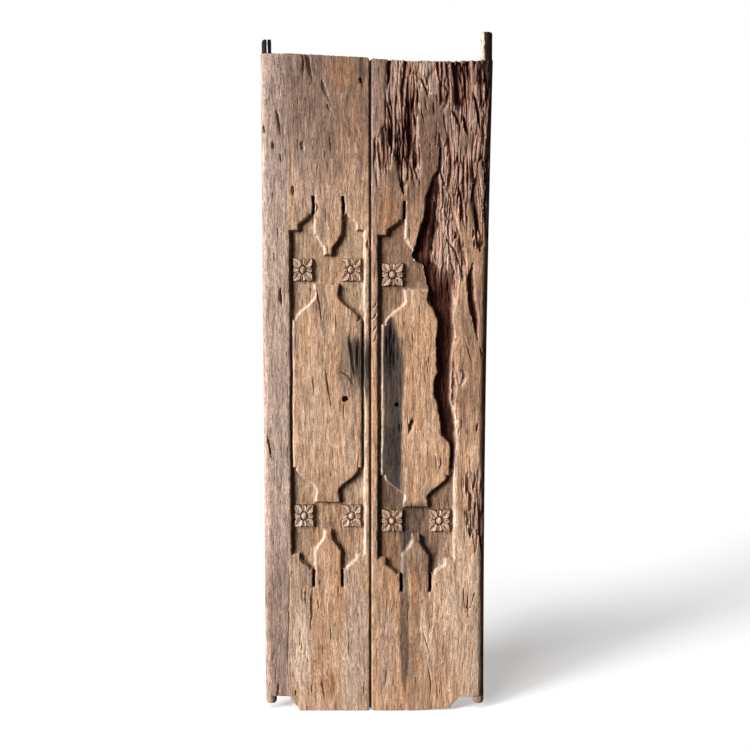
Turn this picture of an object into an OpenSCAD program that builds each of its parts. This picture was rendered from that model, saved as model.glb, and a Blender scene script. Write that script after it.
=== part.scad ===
// A pair of carved teak window leaves that stand side by side.
// Each leaf is one plank: its pivots, its carving and its rosettes are cut from the same wood.
// The carved fronts face -Y, Z is up, and the leaves stand on Z = 0.

/* [Leaves] */
// Width of the left leaf
left_leaf_w = 218; // [200:1:260]
// Height of the left leaf at its outer edge
left_leaf_h = 1355; // [1200:1:1500]
// Width of the right leaf at its head
right_leaf_w = 244; // [225:1:280]
// Height of the right leaf at its outer edge
right_leaf_h = 1342; // [1200:1:1500]
// Thickness of both planks
leaf_t = 34; // [28:0.5:44]
// Gap between the meeting edges
seam_gap = 5; // [2:0.5:12]
// Rounding of the outer edges
edge_r = 13; // [6:0.5:13.5]
// Slant of the meeting edges from front to back, so that the right edge laps behind the left
seam_splay = 8; // [6:0.5:12]
// Easing of the corners of the meeting edges
arris_w = 2.5; // [1:0.5:5]
// Fall of the left head from the outer edge to the seam
left_head_fall = 8; // [0:0.5:12]
// Rise of the right head from the outer edge to the seam
right_head_rise = 3; // [0:0.5:10]
// Width that the right leaf loses from its head to its foot
right_leaf_taper = 8; // [0:0.5:12]

/* [Pivots] */
// Diameter of the head pivots
head_pivot_d = 26; // [18:0.5:28]
// Distance of the head pivots from the outer edge
head_pivot_inset = 1; // [0.5:0.5:4]
// Width of the level stretch of each head below its pivot
head_level_w = 60; // [45:1:90]
// Length of the whole head pivot on the right leaf
right_head_pivot_l = 54; // [30:1:80]
// Length of the broken head pivot on the left leaf
left_head_pivot_l = 29; // [15:1:40]
// Width of the split in the broken head pivot
pivot_split_w = 3; // [1:0.5:5]
// Width of the wood that broke off the seam side of that pivot
pivot_loss_w = 5; // [2:0.5:8]
// Diameter of the foot pivots
foot_pivot_d = 23; // [18:0.5:28]
// Length of the foot pivots below the notch
foot_pivot_l = 18; // [10:1:24]
// Worn rounding at the end of the foot pivots
foot_pivot_wear = 5; // [2:0.5:7]

/* [Foot notches] */
// Height of the notch beside each foot pivot
notch_h = 31; // [27:1:50]
// Width of the notch at the top, from the outer edge
notch_top_w = 52; // [40:1:60]
// Width of the notch at the floor, from the outer edge
notch_foot_w = 70; // [62:1:85]
// Height that the right foot is worn away beside its notch
foot_wear_h = 6; // [0.5:0.5:10]
// Width of that worn stretch of the right foot
foot_wear_w = 75; // [30:1:110]

/* [Sunk panel] */
// Width of the left sunk panel
left_panel_w = 155; // [140:1:170]
// Width of the right sunk panel
right_panel_w = 161; // [145:1:175]
// Height of the straight sides of both sunk panels
panel_h = 671; // [600:1:720]
// Height of the left sunk panel's straight sides above the floor
left_panel_z = 334; // [300:1:380]
// Height of the right sunk panel's straight sides above the floor
right_panel_z = 324; // [300:1:380]
// Width of the strip between the left sunk panel and the seam
left_strip_w = 8.5; // [6:0.5:18]
// Width of the strip between the right sunk panel and the seam
right_strip_w = 11; // [6:0.5:18]
// Depth of the sunk ground
carve_depth = 12; // [6:0.5:13]
// Width of the flat step in each corner of the sunk panel
corner_step_w = 17; // [10:0.5:24]
// Rise of the short upright above that step
corner_step_h = 8; // [3:0.5:12]
// Rise from the panel's end to the foot of the slots
bracket_h = 32; // [24:0.5:44]
// Width of the ledge at the top of each corner curve
bracket_ledge_w = 6; // [3:0.5:10]
// Width of the slots beside each tongue
slot_w = 8; // [5:0.5:10]
// Reach of the slots beyond the panel's end
slot_h = 69; // [55:1:90]
// Width of the tongue between the slots
tongue_w = 52; // [44:1:58]
// Reach of the tongue into the panel
tongue_h = 50; // [40:1:60]
// Reach of the tongue's straight sides into the panel
tongue_side_h = 9; // [4:0.5:14]
// Width of the tongue's tip
tongue_tip_w = 13; // [8:0.5:20]
// Height of the tongue's tip
tongue_tip_h = 9; // [4:0.5:14]
// Width of the nick where the tongue starts to narrow
tongue_nick_w = 3; // [1:0.5:5]

/* [Cartouche] */
// Width of the raised cartouche
cartouche_w = 138; // [124:1:138]
// Distance from the cartouche to each end of the sunk panel
cartouche_end_gap = 112; // [100:1:130]
// Width of the cartouche's neck at its ends
neck_w = 47; // [38:1:56]
// Length of the neck
neck_h = 19; // [10:1:26]
// Amount by which the neck narrows on each side towards the curve
neck_pinch = 3; // [1:0.5:6]
// Distance from the cartouche's end to its shoulder
shoulder_h = 73; // [60:1:90]
// Width of the step on the shoulder
shoulder_step_w = 7; // [3:0.5:12]
// Height of the step on the shoulder
shoulder_step_h = 3; // [1:0.5:6]

/* [Rosettes] */
// Width of the left leaf's rosettes
left_rosette_w = 41; // [34:0.5:46]
// Width of the right leaf's rosettes
right_rosette_w = 45; // [36:0.5:48]
// Height of the rosettes
rosette_h = 48; // [40:0.5:54]
// Distance of a rosette's centre from the panel's centre line
rosette_x = 49; // [44:0.5:52]
// Distance of a rosette's centre from the panel's end
rosette_end_gap = 81; // [72:0.5:84]
// Width of the long corner petals
corner_petal_w = 17; // [9:0.5:18]
// Width of the short side petals
side_petal_w = 14; // [8:0.5:15]
// Depth of the corner petals below the leaf's face
corner_petal_drop = 2; // [0.5:0.5:4]
// Depth of the side petals below the corner petals
side_petal_drop = 1.5; // [0.5:0.5:3]
// Diameter of the domed centre
boss_d = 14; // [9:0.5:18]
// Width of the ring cut round the centre
boss_ring_w = 2; // [1:0.5:4]
// Depth of the ring below the corner petals
boss_ring_h = 4; // [2:0.5:5]
// Height of the centre's dome
boss_dome_h = 4; // [2:0.5:5]

/* [Pull holes] */
// Diameter of the left leaf's pull hole
left_hole_d = 13; // [6:0.5:18]
// Height of the left pull hole above the floor
left_hole_z = 660; // [560:1:760]
// Distance of the left pull hole from the seam edge
left_hole_x = 50; // [30:0.5:80]
// Diameter of the right leaf's pull hole
right_hole_d = 10; // [6:0.5:18]
// Height of the right pull hole above the floor
right_hole_z = 648; // [560:1:760]
// Distance of the right pull hole from the seam edge
right_hole_x = 51; // [30:0.5:64]
// Depth of both pull holes
hole_depth = 26; // [16:0.5:27]

/* [Weathering] */
// Depth of the deepest weathered hollow in the right leaf
hollow_depth = 15; // [8:0.5:18]

/* [Hidden] */

// Steps along each carved curve
curve_steps = 8;
// How far a cut runs past the face that it opens, and a root runs into the wood
overcut = 1;
root = 4;

$fn = 64;

// The seam lies where the pair as a whole is centred on X = 0.
seam_x = (left_leaf_w - right_leaf_w) / 2;
front_y = -leaf_t / 2;
ground_y = front_y + carve_depth;

// Weathered hollows along the grain of the right leaf, each as the distance of its middle from the
// seam edge, the height of its middle, its length, its width, its share of the full depth and the
// distance that it leans towards the outer edge from its foot to its head
hollows = [
    // the long valley and the ravine beside the cartouche
    [146, 1035, 330, 92, 0.9, 30],
    [122, 950, 190, 74, 0.75, 30],
    [150, 740, 560, 40, 1, -34],
    // the slits towards the outer edge
    [207, 870, 240, 20, 1, -14],
    [184, 1030, 330, 30, 0.7, 10],
    [216, 1040, 210, 26, 0.8, -8],
    [196, 930, 160, 26, 0.55, 0],
    // the open fibres at the head
    [56, 1240, 300, 44, 0.5, 6],
    [35, 1305, 110, 14, 0.8, -4],
    [19, 1150, 100, 28, 0.45, 6],
    [146, 1275, 240, 50, 0.5, -14],
    [184, 1255, 240, 34, 0.45, 12],
    [226, 1275, 110, 18, 0.75, -4],
    [213, 1225, 150, 22, 0.65, 6],
    [168, 1150, 150, 46, 0.45, 10],
    // the weathered border below the slits
    [201, 400, 240, 22, 0.35, -6]
];
// Rings along each hollow, flats across it, and its clearance in front of the leaf
hollow_rings = 7;
hollow_flats = 4;
hollow_cover = 1.5;

// Points from a to b along a soft S, upright at both ends
function ogee(a, b) = [
    for (i = [0 : curve_steps])
    let (t = i / curve_steps, s = (1 - cos(180 * t)) / 2)
    [a[0] + (b[0] - a[0]) * s, a[1] + (b[1] - a[1]) * t]
];

function reversed(points) = [for (i = [len(points) - 1 : -1 : 0]) points[i]];

// A closed outline from its upper right quarter, mirrored on both axes
function from_quarter(quarter) = concat(
    quarter,
    reversed([for (p = quarter) [-p[0], p[1]]]),
    [for (p = quarter) [-p[0], -p[1]]],
    reversed([for (p = quarter) [p[0], -p[1]]])
);

// Upper right quarter of the sunk panel: corner step, curve, slot and tongue
function panel_quarter(half_w, half_h) =
    let (
        slot_in = tongue_w / 2,
        slot_out = slot_in + slot_w,
        step_x = half_w - corner_step_w
    )
    concat(
        [[half_w, half_h], [step_x, half_h]],
        ogee([step_x, half_h + corner_step_h], [slot_out + bracket_ledge_w, half_h + bracket_h]),
        [
            [slot_out, half_h + bracket_h],
            [slot_out, half_h + slot_h],
            [slot_in, half_h + slot_h],
            [slot_in, half_h - tongue_side_h]
        ],
        ogee(
            [slot_in - tongue_nick_w, half_h - tongue_side_h],
            [tongue_tip_w / 2, half_h - tongue_h + tongue_tip_h]
        ),
        [[tongue_tip_w / 2, half_h - tongue_h]]
    );

// Upper right quarter of the cartouche: shoulder, curve and neck
function cartouche_quarter(half_w, half_h) = concat(
    [
        [half_w, half_h - shoulder_h],
        [half_w - shoulder_step_w, half_h - shoulder_h]
    ],
    ogee(
        [half_w - shoulder_step_w, half_h - shoulder_h + shoulder_step_h],
        [neck_w / 2 - neck_pinch, half_h - neck_h]
    ),
    [[neck_w / 2, half_h]]
);

// Places a flat outline on a leaf: its X runs outwards from the seam edge and its Y upwards
module on_front(depth) {
    translate([0, front_y + depth, 0])
        rotate([90, 0, 0])
            linear_extrude(depth + overcut) children();
}

// Plan of a plank: rounded on the outer edge, and splayed and eased on the seam edge
module plank_plan(w, splay) {
    half_t = leaf_t / 2;
    eased = splay * arris_w / leaf_t;
    difference() {
        polygon([
            [arris_w, -half_t],
            [w, -half_t],
            [w, half_t],
            [splay + arris_w, half_t],
            [splay - eased, half_t - arris_w],
            [eased, arris_w - half_t]
        ]);
        for (s = [-1, 1]) plan_corner(w, s);
    }
}

// The waste outside one rounded corner of the plan, at the back or the front of the outer edge
module plan_corner(w, s) {
    translate([w, s * leaf_t / 2])
        difference() {
            translate([-edge_r, s > 0 ? -edge_r : -overcut]) square(edge_r + overcut);
            translate([-edge_r, -s * edge_r]) circle(edge_r);
        }
}

// Front outline of a plank: sloped head, flat foot and the notch beside the foot pivot
module plank_outline(w, outer_h, seam_h, foot_w, wear_h, wear_w) {
    reach = max(w, foot_w) + root;
    seam_reach = -seam_splay - root;
    notch_x = foot_w - notch_foot_w;
    polygon(concat(
        [[0, seam_h], [seam_reach, seam_h], [seam_reach, 0], [notch_x - wear_w, 0]],
        ogee([notch_x, wear_h], [foot_w - notch_top_w, notch_h]),
        [[reach, notch_h], [reach, outer_h], [w - head_level_w, outer_h]]
    ));
}

// A plank with a straight outer edge that may lean out towards the head
module plank(w, outer_h, seam_h, splay, taper, wear_h, wear_w) {
    foot_w = w - taper;
    lean = atan(taper / outer_h);
    intersection() {
        union() {
            linear_extrude(outer_h + seam_h) plank_plan(foot_w, splay);
            if (taper > 0)
                translate([foot_w, 0, 0])
                    rotate([0, lean, 0])
                        translate([-foot_w / 2, 0, -root])
                            linear_extrude(outer_h + seam_h) plank_plan(foot_w / 2, 0);
        }
        translate([0, leaf_t, 0])
            rotate([90, 0, 0])
                linear_extrude(2 * leaf_t)
                    plank_outline(w, outer_h, seam_h, foot_w, wear_h, wear_w);
    }
}

// A foot pivot with a worn end, hanging from the notch at its outer edge
module foot_pivot(foot_w) {
    r = foot_pivot_d / 2;
    translate([foot_w - r, 0, notch_h - foot_pivot_l]) {
        cylinder(r1 = r - foot_pivot_wear, r2 = r, h = foot_pivot_wear);
        translate([0, 0, foot_pivot_wear])
            cylinder(r = r, h = foot_pivot_l - foot_pivot_wear + root);
    }
}

// A whole head pivot, close to the leaf's outer edge
module head_pivot(w, leaf_h, pivot_l) {
    r = head_pivot_d / 2;
    translate([w - head_pivot_inset - r, 0, leaf_h - root]) cylinder(r = r, h = pivot_l + root);
}

// A head pivot that is split along the grain and has lost its seam side
module broken_head_pivot(w, leaf_h, pivot_l) {
    outer_side = w - head_pivot_inset;
    seam_side = outer_side - head_pivot_d;
    difference() {
        head_pivot(w, leaf_h, pivot_l);
        translate([seam_side - overcut, -leaf_t / 2, leaf_h])
            cube([pivot_loss_w + overcut, leaf_t, pivot_l + overcut]);
        translate([outer_side - head_pivot_d / 2, -leaf_t / 2, leaf_h])
            cube([pivot_split_w, leaf_t, pivot_l + overcut]);
    }
}

// The sunk ground round a cartouche
module sunk_ground(panel_w, panel_x, panel_z) {
    translate([panel_x + panel_w / 2, 0, panel_z + panel_h / 2])
        on_front(carve_depth)
            difference() {
                polygon(from_quarter(panel_quarter(panel_w / 2, panel_h / 2)));
                polygon(from_quarter(cartouche_quarter(
                    cartouche_w / 2,
                    panel_h / 2 - cartouche_end_gap
                )));
            }
}

// Plan of one petal, pointed at both ends, lying along X from the rosette's centre
module petal_plan(l, w) {
    r = (l * l + w * w) / (4 * w);
    translate([l / 2, 0])
        intersection_for (s = [-1, 1])
            translate([0, s * (r - w / 2)]) circle(r);
}

// Eight petals round a domed centre, with the corner petals over the side petals
module rosette(w) {
    petal_h = carve_depth - corner_petal_drop;
    corner = atan2(rosette_h, w);
    corner_l = norm([w, rosette_h]) / 2;
    translate([0, ground_y + root, 0])
        rotate([90, 0, 0]) {
            difference() {
                union() {
                    for (a = [corner, 180 - corner, 180 + corner, -corner])
                        rotate(a)
                            linear_extrude(petal_h + root) petal_plan(corner_l, corner_petal_w);
                    for (a = [0 : 90 : 270])
                        rotate(a)
                            linear_extrude(petal_h + root - side_petal_drop)
                                petal_plan((a % 180 == 0 ? w : rosette_h) / 2, side_petal_w);
                }
                translate([0, 0, petal_h + root - boss_ring_h])
                    cylinder(d = boss_d + 2 * boss_ring_w, h = boss_ring_h + overcut);
            }
            boss();
        }
}

// The domed centre of a rosette
module boss() {
    petal_h = carve_depth - corner_petal_drop;
    rim = petal_h + root - boss_ring_h;
    dome_r = (boss_dome_h + boss_d * boss_d / (4 * boss_dome_h)) / 2;
    cylinder(d = boss_d, h = rim);
    intersection() {
        translate([0, 0, rim + boss_dome_h - dome_r]) sphere(dome_r);
        translate([0, 0, rim - overcut / 2]) cylinder(d = boss_d, h = boss_dome_h + overcut);
    }
}

// Rosettes at the places given as signs across and along the panel
module rosettes(w, panel_w, panel_x, panel_z, places) {
    for (p = places)
        translate([
            panel_x + panel_w / 2 + p[0] * rosette_x,
            0,
            panel_z + panel_h / 2 + p[1] * (panel_h / 2 - rosette_end_gap)
        ])
            rosette(w);
}

// A blind pull hole in the front of a leaf
module pull_hole(x, z, d) {
    translate([x, front_y + hole_depth, z]) rotate([90, 0, 0]) cylinder(d = d, h = hole_depth + overcut);
}

// One hollow that weather has worn along the grain: a boat shape, open to the front, with a
// point at each end
module weathered_hollow(l, w, depth, lean) {
    last = hollow_rings * (hollow_flats + 1);
    rings = [
        for (i = [1 : hollow_rings], j = [0 : hollow_flats])
        let (
            along = 2 * i / (hollow_rings + 1) - 1,
            swell = 1 - along * along,
            turn = 180 * j / hollow_flats
        )
        [
            (lean * along - w * swell * cos(turn)) / 2,
            depth * pow(swell, 0.6) * sin(turn),
            l * along / 2
        ]
    ];
    foot = [-lean / 2, 0, -l / 2];
    head = [lean / 2, 0, l / 2];
    row = hollow_flats + 1;
    skin = [
        for (i = [0 : hollow_rings - 2], j = [0 : hollow_flats - 1], half = [0, 1])
        let (a = i * row + j)
        half == 0 ? [a, a + 1, a + row] : [a + 1, a + row + 1, a + row]
    ];
    tips = [
        for (j = [0 : hollow_flats - 1], end = [0, 1])
        let (a = end * (last - row) + j)
        end == 0 ? [last, a + 1, a] : [a, a + 1, last + 1]
    ];
    lid = concat(
        [last],
        [for (i = [0 : hollow_rings - 1]) i * row],
        [last + 1],
        [for (i = [hollow_rings - 1 : -1 : 0]) i * row + hollow_flats]
    );
    polyhedron(concat(rings, [foot, head]), concat(skin, tips, [lid]));
}

// All the wood that weather has taken from the right leaf
module weathered_hollows() {
    for (h = hollows)
        translate([h[0], front_y - hollow_cover, h[1]])
            weathered_hollow(h[2], h[3], hollow_depth * h[4], h[5]);
}

module left_leaf() {
    panel_x = left_strip_w;
    seam_h = left_leaf_h - left_head_fall;
    places = [[-1, 1], [1, 1], [-1, -1], [1, -1]];
    color("rosybrown")
        translate([seam_x - seam_gap / 2, 0, 0])
            mirror([1, 0, 0]) {
                difference() {
                    plank(left_leaf_w, left_leaf_h, seam_h, seam_splay, 0, 0, 0);
                    sunk_ground(left_panel_w, panel_x, left_panel_z);
                    pull_hole(left_hole_x, left_hole_z, left_hole_d);
                }
                rosettes(left_rosette_w, left_panel_w, panel_x, left_panel_z, places);
                broken_head_pivot(left_leaf_w, left_leaf_h, left_head_pivot_l);
                foot_pivot(left_leaf_w);
            }
}

module right_leaf() {
    panel_x = right_strip_w;
    seam_h = right_leaf_h + right_head_rise;
    // the outer head rosette has weathered away
    places = [[-1, 1], [-1, -1], [1, -1]];
    color("burlywood")
        translate([seam_x + seam_gap / 2, 0, 0]) {
            difference() {
                plank(
                    right_leaf_w, right_leaf_h, seam_h, -seam_splay,
                    right_leaf_taper, foot_wear_h, foot_wear_w
                );
                sunk_ground(right_panel_w, panel_x, right_panel_z);
                pull_hole(right_hole_x, right_hole_z, right_hole_d);
                weathered_hollows();
            }
            rosettes(right_rosette_w, right_panel_w, panel_x, right_panel_z, places);
            head_pivot(right_leaf_w, right_leaf_h, right_head_pivot_l);
            foot_pivot(right_leaf_w - right_leaf_taper);
        }
}

left_leaf();
right_leaf();
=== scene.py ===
"""Dresses a pair of carved teak window leaves: planks, rosettes, pivots, light and camera."""

import logging
import math
from dataclasses import dataclass, field
from enum import Enum
from typing import ClassVar

import bpy
import numpy as np
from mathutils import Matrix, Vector


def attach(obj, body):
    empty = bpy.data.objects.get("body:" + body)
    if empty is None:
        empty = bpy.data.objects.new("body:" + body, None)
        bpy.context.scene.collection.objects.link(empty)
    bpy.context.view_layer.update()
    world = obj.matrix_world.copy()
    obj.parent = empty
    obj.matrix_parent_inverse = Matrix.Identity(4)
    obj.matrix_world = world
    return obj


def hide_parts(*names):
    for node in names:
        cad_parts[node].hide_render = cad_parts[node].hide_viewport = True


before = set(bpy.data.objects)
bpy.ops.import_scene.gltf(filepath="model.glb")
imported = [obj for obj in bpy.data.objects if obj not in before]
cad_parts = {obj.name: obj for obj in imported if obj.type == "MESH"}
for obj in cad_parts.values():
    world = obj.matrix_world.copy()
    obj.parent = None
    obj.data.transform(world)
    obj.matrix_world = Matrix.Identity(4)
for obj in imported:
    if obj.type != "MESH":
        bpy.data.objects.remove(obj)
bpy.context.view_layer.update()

MM = 0.001
BODY = "root"
TRIANGLE_LIMIT = 190_000
TINY = 1e-9

# Sizes that both planks share, in millimetres
THICKNESS = 34.0
FRONT = -THICKNESS / 2
EDGE_R = 13.0
ARRIS_R = 2.5
CARVE_DEPTH = 12.0
WALL_W = 3.8
SLOT_WALL_W = 1.3
SLOT_EXTRA = 4.0
DEEPEST_FRONT = 11.0

Array = np.ndarray
Point = tuple[float, float]
Colour = tuple[float, float, float]
Socket = bpy.types.NodeSocket
Value = Socket | float | tuple[float, ...]

log = logging.getLogger("window_leaves")


class Side(Enum):
    """Which leaf of the pair, with the direction in which it runs from the seam."""

    LEFT = -1
    RIGHT = 1


class Mask(Enum):
    """What a point of the wood has been through, and where highlight and shade are painted, in the order in
    which the colours are laid on.
    """

    GREY = "grey"
    BROWN = "brown"
    GROUND = "ground"
    ERODED = "eroded"
    RUST = "rust"
    # pale wood, and a painted highlight on walls that face the light and on the crests of open fibres
    PALE_AND_HIGHLIGHT = "pale_and_highlight"
    STAIN = "stain"
    # dirt in hollows, and painted shade in hollows, in the slots, on walls and on the edge that face away
    # from the light
    DEEP = "deep"
    CHAR = "char"


class Noise:
    """Smooth seeded noise on a lattice, between 0 and 1."""

    CELLS = 256

    def __init__(self, seed: int) -> None:
        """Draws the lattice."""
        self.table = np.random.default_rng(seed).random((self.CELLS, self.CELLS))

    def at(self, a: Array, b: Array) -> Array:
        """Reads the noise.

        Args:
            a: Place along the first axis, in lattice cells.
            b: Place along the second axis, in lattice cells.

        Returns:
            Values between 0 and 1.
        """
        low_a, low_b = np.floor(a), np.floor(b)
        fa, fb = a - low_a, b - low_b
        fa = fa * fa * (3 - 2 * fa)
        fb = fb * fb * (3 - 2 * fb)
        ia, ib = low_a.astype(int) % self.CELLS, low_b.astype(int) % self.CELLS
        ja, jb = (ia + 1) % self.CELLS, (ib + 1) % self.CELLS
        t = self.table
        near = t[ia, ib] * (1 - fa) + t[ja, ib] * fa
        far = t[ia, jb] * (1 - fa) + t[ja, jb] * fa
        return near * (1 - fb) + far * fb


@dataclass(frozen=True)
class Ripple:
    """One size of unevenness: its strength, its lengths across and along the grain, and where it is read."""

    strength: float
    across: float
    along: float
    shift: float = 0.0

    def plain(self, noise: Noise, u: Array, z: Array) -> Array:
        """Gives the bare noise, between 0 and 1."""
        return noise.at(u / self.across + self.shift, z / self.along)

    def rise(self, noise: Noise, u: Array, z: Array) -> Array:
        """Gives the unevenness above 0."""
        return self.strength * self.plain(noise, u, z)

    def swing(self, noise: Noise, u: Array, z: Array) -> Array:
        """Gives the unevenness to both sides of 0."""
        return self.strength * (2 * self.plain(noise, u, z) - 1)

    def crests(self, noise: Noise, u: Array, z: Array) -> Array:
        """Gives sharp crests of 1 between soft hollows, without the strength."""
        return 1 - np.abs(2 * self.plain(noise, u, z) - 1)


def roughness(ripples: tuple[Ripple, ...], noise: Noise, u: Array, z: Array) -> Array:
    """Adds up the rises of several ripples."""
    return sum(ripple.rise(noise, u, z) for ripple in ripples)


def shaken(base: Array | float, ripples: tuple[Ripple, ...], noise: Noise, u: Array, z: Array) -> Array:
    """Adds the swings of several ripples to a value."""
    return sum((ripple.swing(noise, u, z) for ripple in ripples), base)


def step(low: Array | float, high: Array | float, value: Array) -> Array:
    """Eases from 0 at low to 1 at high."""
    t = np.clip((value - low) / (high - low), 0, 1)
    return t * t * (3 - 2 * t)


def worn_corner(u: Array, reach: float, hardness: float) -> Array:
    """Gives what wear has taken from a corner at the seam edge."""
    return np.maximum(0, reach - u) ** 2 / hardness


def arris(distance: Array) -> Array:
    """Gives what a rounded arris takes at a distance from its edge."""
    short = np.clip(ARRIS_R - distance, 0, ARRIS_R)
    return ARRIS_R - np.sqrt(ARRIS_R ** 2 - short ** 2)


def at_height(path: tuple[Point, ...], z: Array) -> Array:
    """Reads a path of values and heights at other heights."""
    values, heights = np.array(path, float).T
    return np.interp(z, heights, values)


def ogee(a: Point, b: Point, count: int = 14) -> list[Point]:
    """Gives points along a soft S.

    Args:
        a: Where it starts, upright.
        b: Where it ends, upright.
        count: Number of points.

    Returns:
        The points, with both ends.
    """
    t = np.linspace(0, 1, count)
    s = (1 - np.cos(np.pi * t)) / 2
    return [(a[0] + (b[0] - a[0]) * p, a[1] + (b[1] - a[1]) * q) for p, q in zip(s, t)]


def from_quarter(quarter: list[Point]) -> Array:
    """Closes an outline from its upper right quarter, mirrored on both axes."""
    q = np.array(quarter)
    return np.concatenate([q, (q * (-1, 1))[::-1], q * (-1, -1), (q * (1, -1))[::-1]])


def nearest(u: Array, z: Array, start: Array, span: Array, square: float) -> tuple[Array, Array, Array]:
    """Finds the nearest place on a straight line.

    Args:
        u: Places across.
        z: Places upwards.
        start: Start of the line.
        span: The way from its start to its end.
        square: Its length squared.

    Returns:
        The share of the line where it is nearest, and the way from there, across and upwards.
    """
    t = np.clip(((u - start[0]) * span[0] + (z - start[1]) * span[1]) / square, 0, 1)
    return t, u - start[0] - t * span[0], z - start[1] - t * span[1]


def inside_distance(u: Array, z: Array, outline: Array) -> Array:
    """Measures the distance to a closed outline, positive inside.

    Args:
        u: Places across.
        z: Places upwards.
        outline: Corners of the outline.

    Returns:
        Signed distances.
    """
    closest = np.full(u.shape, np.inf)
    inside = np.zeros(u.shape, bool)
    for a, b in zip(outline, np.roll(outline, -1, axis=0)):
        span = b - a
        _, du, dz = nearest(u, z, a, span, max(float(span @ span), TINY))
        closest = np.minimum(closest, du ** 2 + dz ** 2)
        if a[1] != b[1]:
            crosses = (a[1] > z) != (b[1] > z)
            inside ^= crosses & (u < a[0] + (z - a[1]) * span[0] / span[1])
    return np.where(inside, 1, -1) * np.sqrt(closest)


@dataclass(frozen=True)
class Groove:
    """An open groove along the grain, steep on the seam side."""

    path: tuple[Point, ...]
    width: float
    depth: float
    open_head: bool = False

    SEAM_SHARE: ClassVar[float] = 0.45
    HEAD_TAPER: ClassVar[float] = 0.2
    FOOT_TAPER: ClassVar[float] = 0.35
    LEAST_TAPER: ClassVar[float] = 0.12
    TAPER_POWER: ClassVar[float] = 0.6
    BED_POWER: ClassVar[float] = 2.2

    def cut(self, u: Array, z: Array) -> Array:
        """Gives the depth that the groove takes from the face.

        Args:
            u: Places across.
            z: Places upwards.

        Returns:
            Depths in millimetres.
        """
        points = np.array(self.path, float)
        reach = self.width * 1.5 + 2
        (low_u, low_z), (high_u, high_z) = points.min(axis=0) - reach, points.max(axis=0) + reach
        near = (u > low_u) & (u < high_u) & (z > low_z) & (z < high_z)
        depth = np.zeros(u.shape)
        if not near.any():
            return depth
        pu, pz = u[near], z[near]
        lengths = np.hypot(*np.diff(points, axis=0).T)
        best = np.full(pu.shape, np.inf)
        along = np.zeros(pu.shape)
        across = np.zeros(pu.shape)
        start = 0.0
        for a, b, length in zip(points[:-1], points[1:], lengths):
            t, du, dz = nearest(pu, pz, a, b - a, length ** 2)
            gap = np.hypot(du, dz)
            closer = gap < best
            best = np.where(closer, gap, best)
            along = np.where(closer, (start + t * length) / lengths.sum(), along)
            across = np.where(closer, du, across)
            start += length
        taper = np.minimum(1, (1 - along) / self.FOOT_TAPER)
        if not self.open_head:
            taper = np.minimum(taper, along / self.HEAD_TAPER)
        taper = np.clip(taper, self.LEAST_TAPER, 1) ** self.TAPER_POWER
        half = self.width * taper * np.where(across < 0, self.SEAM_SHARE, 2 - self.SEAM_SHARE) / 2
        q = np.clip(best / half, 0, 1)
        depth[near] = self.depth * taper * (1 - q ** self.BED_POWER)
        return depth


@dataclass(frozen=True)
class Blotch:
    """A soft-edged coloured patch, longer along the grain than across."""

    mask: Mask
    u: float
    z: float
    across: float
    along: float
    strength: float = 1.0
    raised: bool = False

    OUTER: ClassVar[float] = 1.15
    INNER: ClassVar[float] = 0.7
    RAGGED: ClassVar[float] = 0.45

    def paint(self, u: Array, z: Array, ragged: Array) -> Array:
        """Gives the strength of the patch, with a ragged edge."""
        reach = np.hypot((u - self.u) / self.across, (z - self.z) / self.along)
        return self.strength * step(self.OUTER, self.INNER, reach + self.RAGGED * ragged)


@dataclass(frozen=True)
class Patch:
    """A coloured patch inside an outline."""

    mask: Mask
    outline: tuple[Point, ...]
    soft: float
    strength: float = 1.0
    raised: bool = False

    RAGGED: ClassVar[float] = 1.2

    def paint(self, u: Array, z: Array, ragged: Array) -> Array:
        """Gives the strength of the patch, with a ragged edge."""
        gap = inside_distance(u, z, np.array(self.outline, float))
        return self.strength * step(-self.soft, self.soft, gap + self.RAGGED * self.soft * ragged)


@dataclass(frozen=True)
class Rosette:
    """The relief of a rosette: eight petals round a domed centre, on a square from -1 to 1."""

    side_angle: float = math.radians(17)
    side_reach: float = 0.97
    corner_droop: float = 0.05
    notch_depth: float = 0.15
    notch_angle: float = math.radians(5.5)
    petal_h: float = 7.4
    petal_swell: float = 3.2
    swell_power: float = 1.4
    vein_depth: float = 1.4
    vein_w: float = 0.16
    vein_start: float = 0.62
    parting: float = 0.62
    parting_w: float = 0.075
    rim_w: float = 0.07
    ring_r: float = 0.43
    ring_floor_r: float = 0.38
    ring_floor_h: float = 2.6
    dome_r: float = 0.32
    dome_foot_h: float = 4.0
    dome_h: float = 6.4

    def relief(self, x: Array, y: Array) -> Array:
        """Gives the height above the ground.

        Args:
            x: Places across.
            y: Places upwards.

        Returns:
            Heights in millimetres.
        """
        border, half = self.side_angle, math.pi / 4
        turn = np.arctan2(y, x)
        q = np.abs((turn + half) % (2 * half) - half)
        side = q < border
        e = np.where(side, q / border, (half - q) / (half - border))
        r, m = np.hypot(x, y), np.maximum(np.abs(x), np.abs(y))
        notch = self.notch_depth * np.exp(-((q - border) / self.notch_angle) ** 2)
        limit = np.where(side, self.side_reach, 1.0 - self.corner_droop * e) - notch
        vein = self.vein_depth * np.exp(-(e / self.vein_w) ** 2) * (r > self.vein_start)
        cup = self.petal_h + self.petal_swell * e ** self.swell_power - vein
        parted = 1 - self.parting * np.exp(-((1 - e) * r / self.parting_w) ** 2)
        relief = cup * parted * np.clip((limit - m) / self.rim_w, 0, 1)
        ring = step(self.ring_r, self.ring_floor_r, r)
        relief = relief * (1 - ring) + self.ring_floor_h * ring
        dome = self.dome_foot_h + self.dome_h * np.sqrt(np.clip(1 - (r / self.dome_r) ** 2, 0, 1))
        return np.where(r < self.dome_r, np.maximum(relief, dome), relief)


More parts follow.
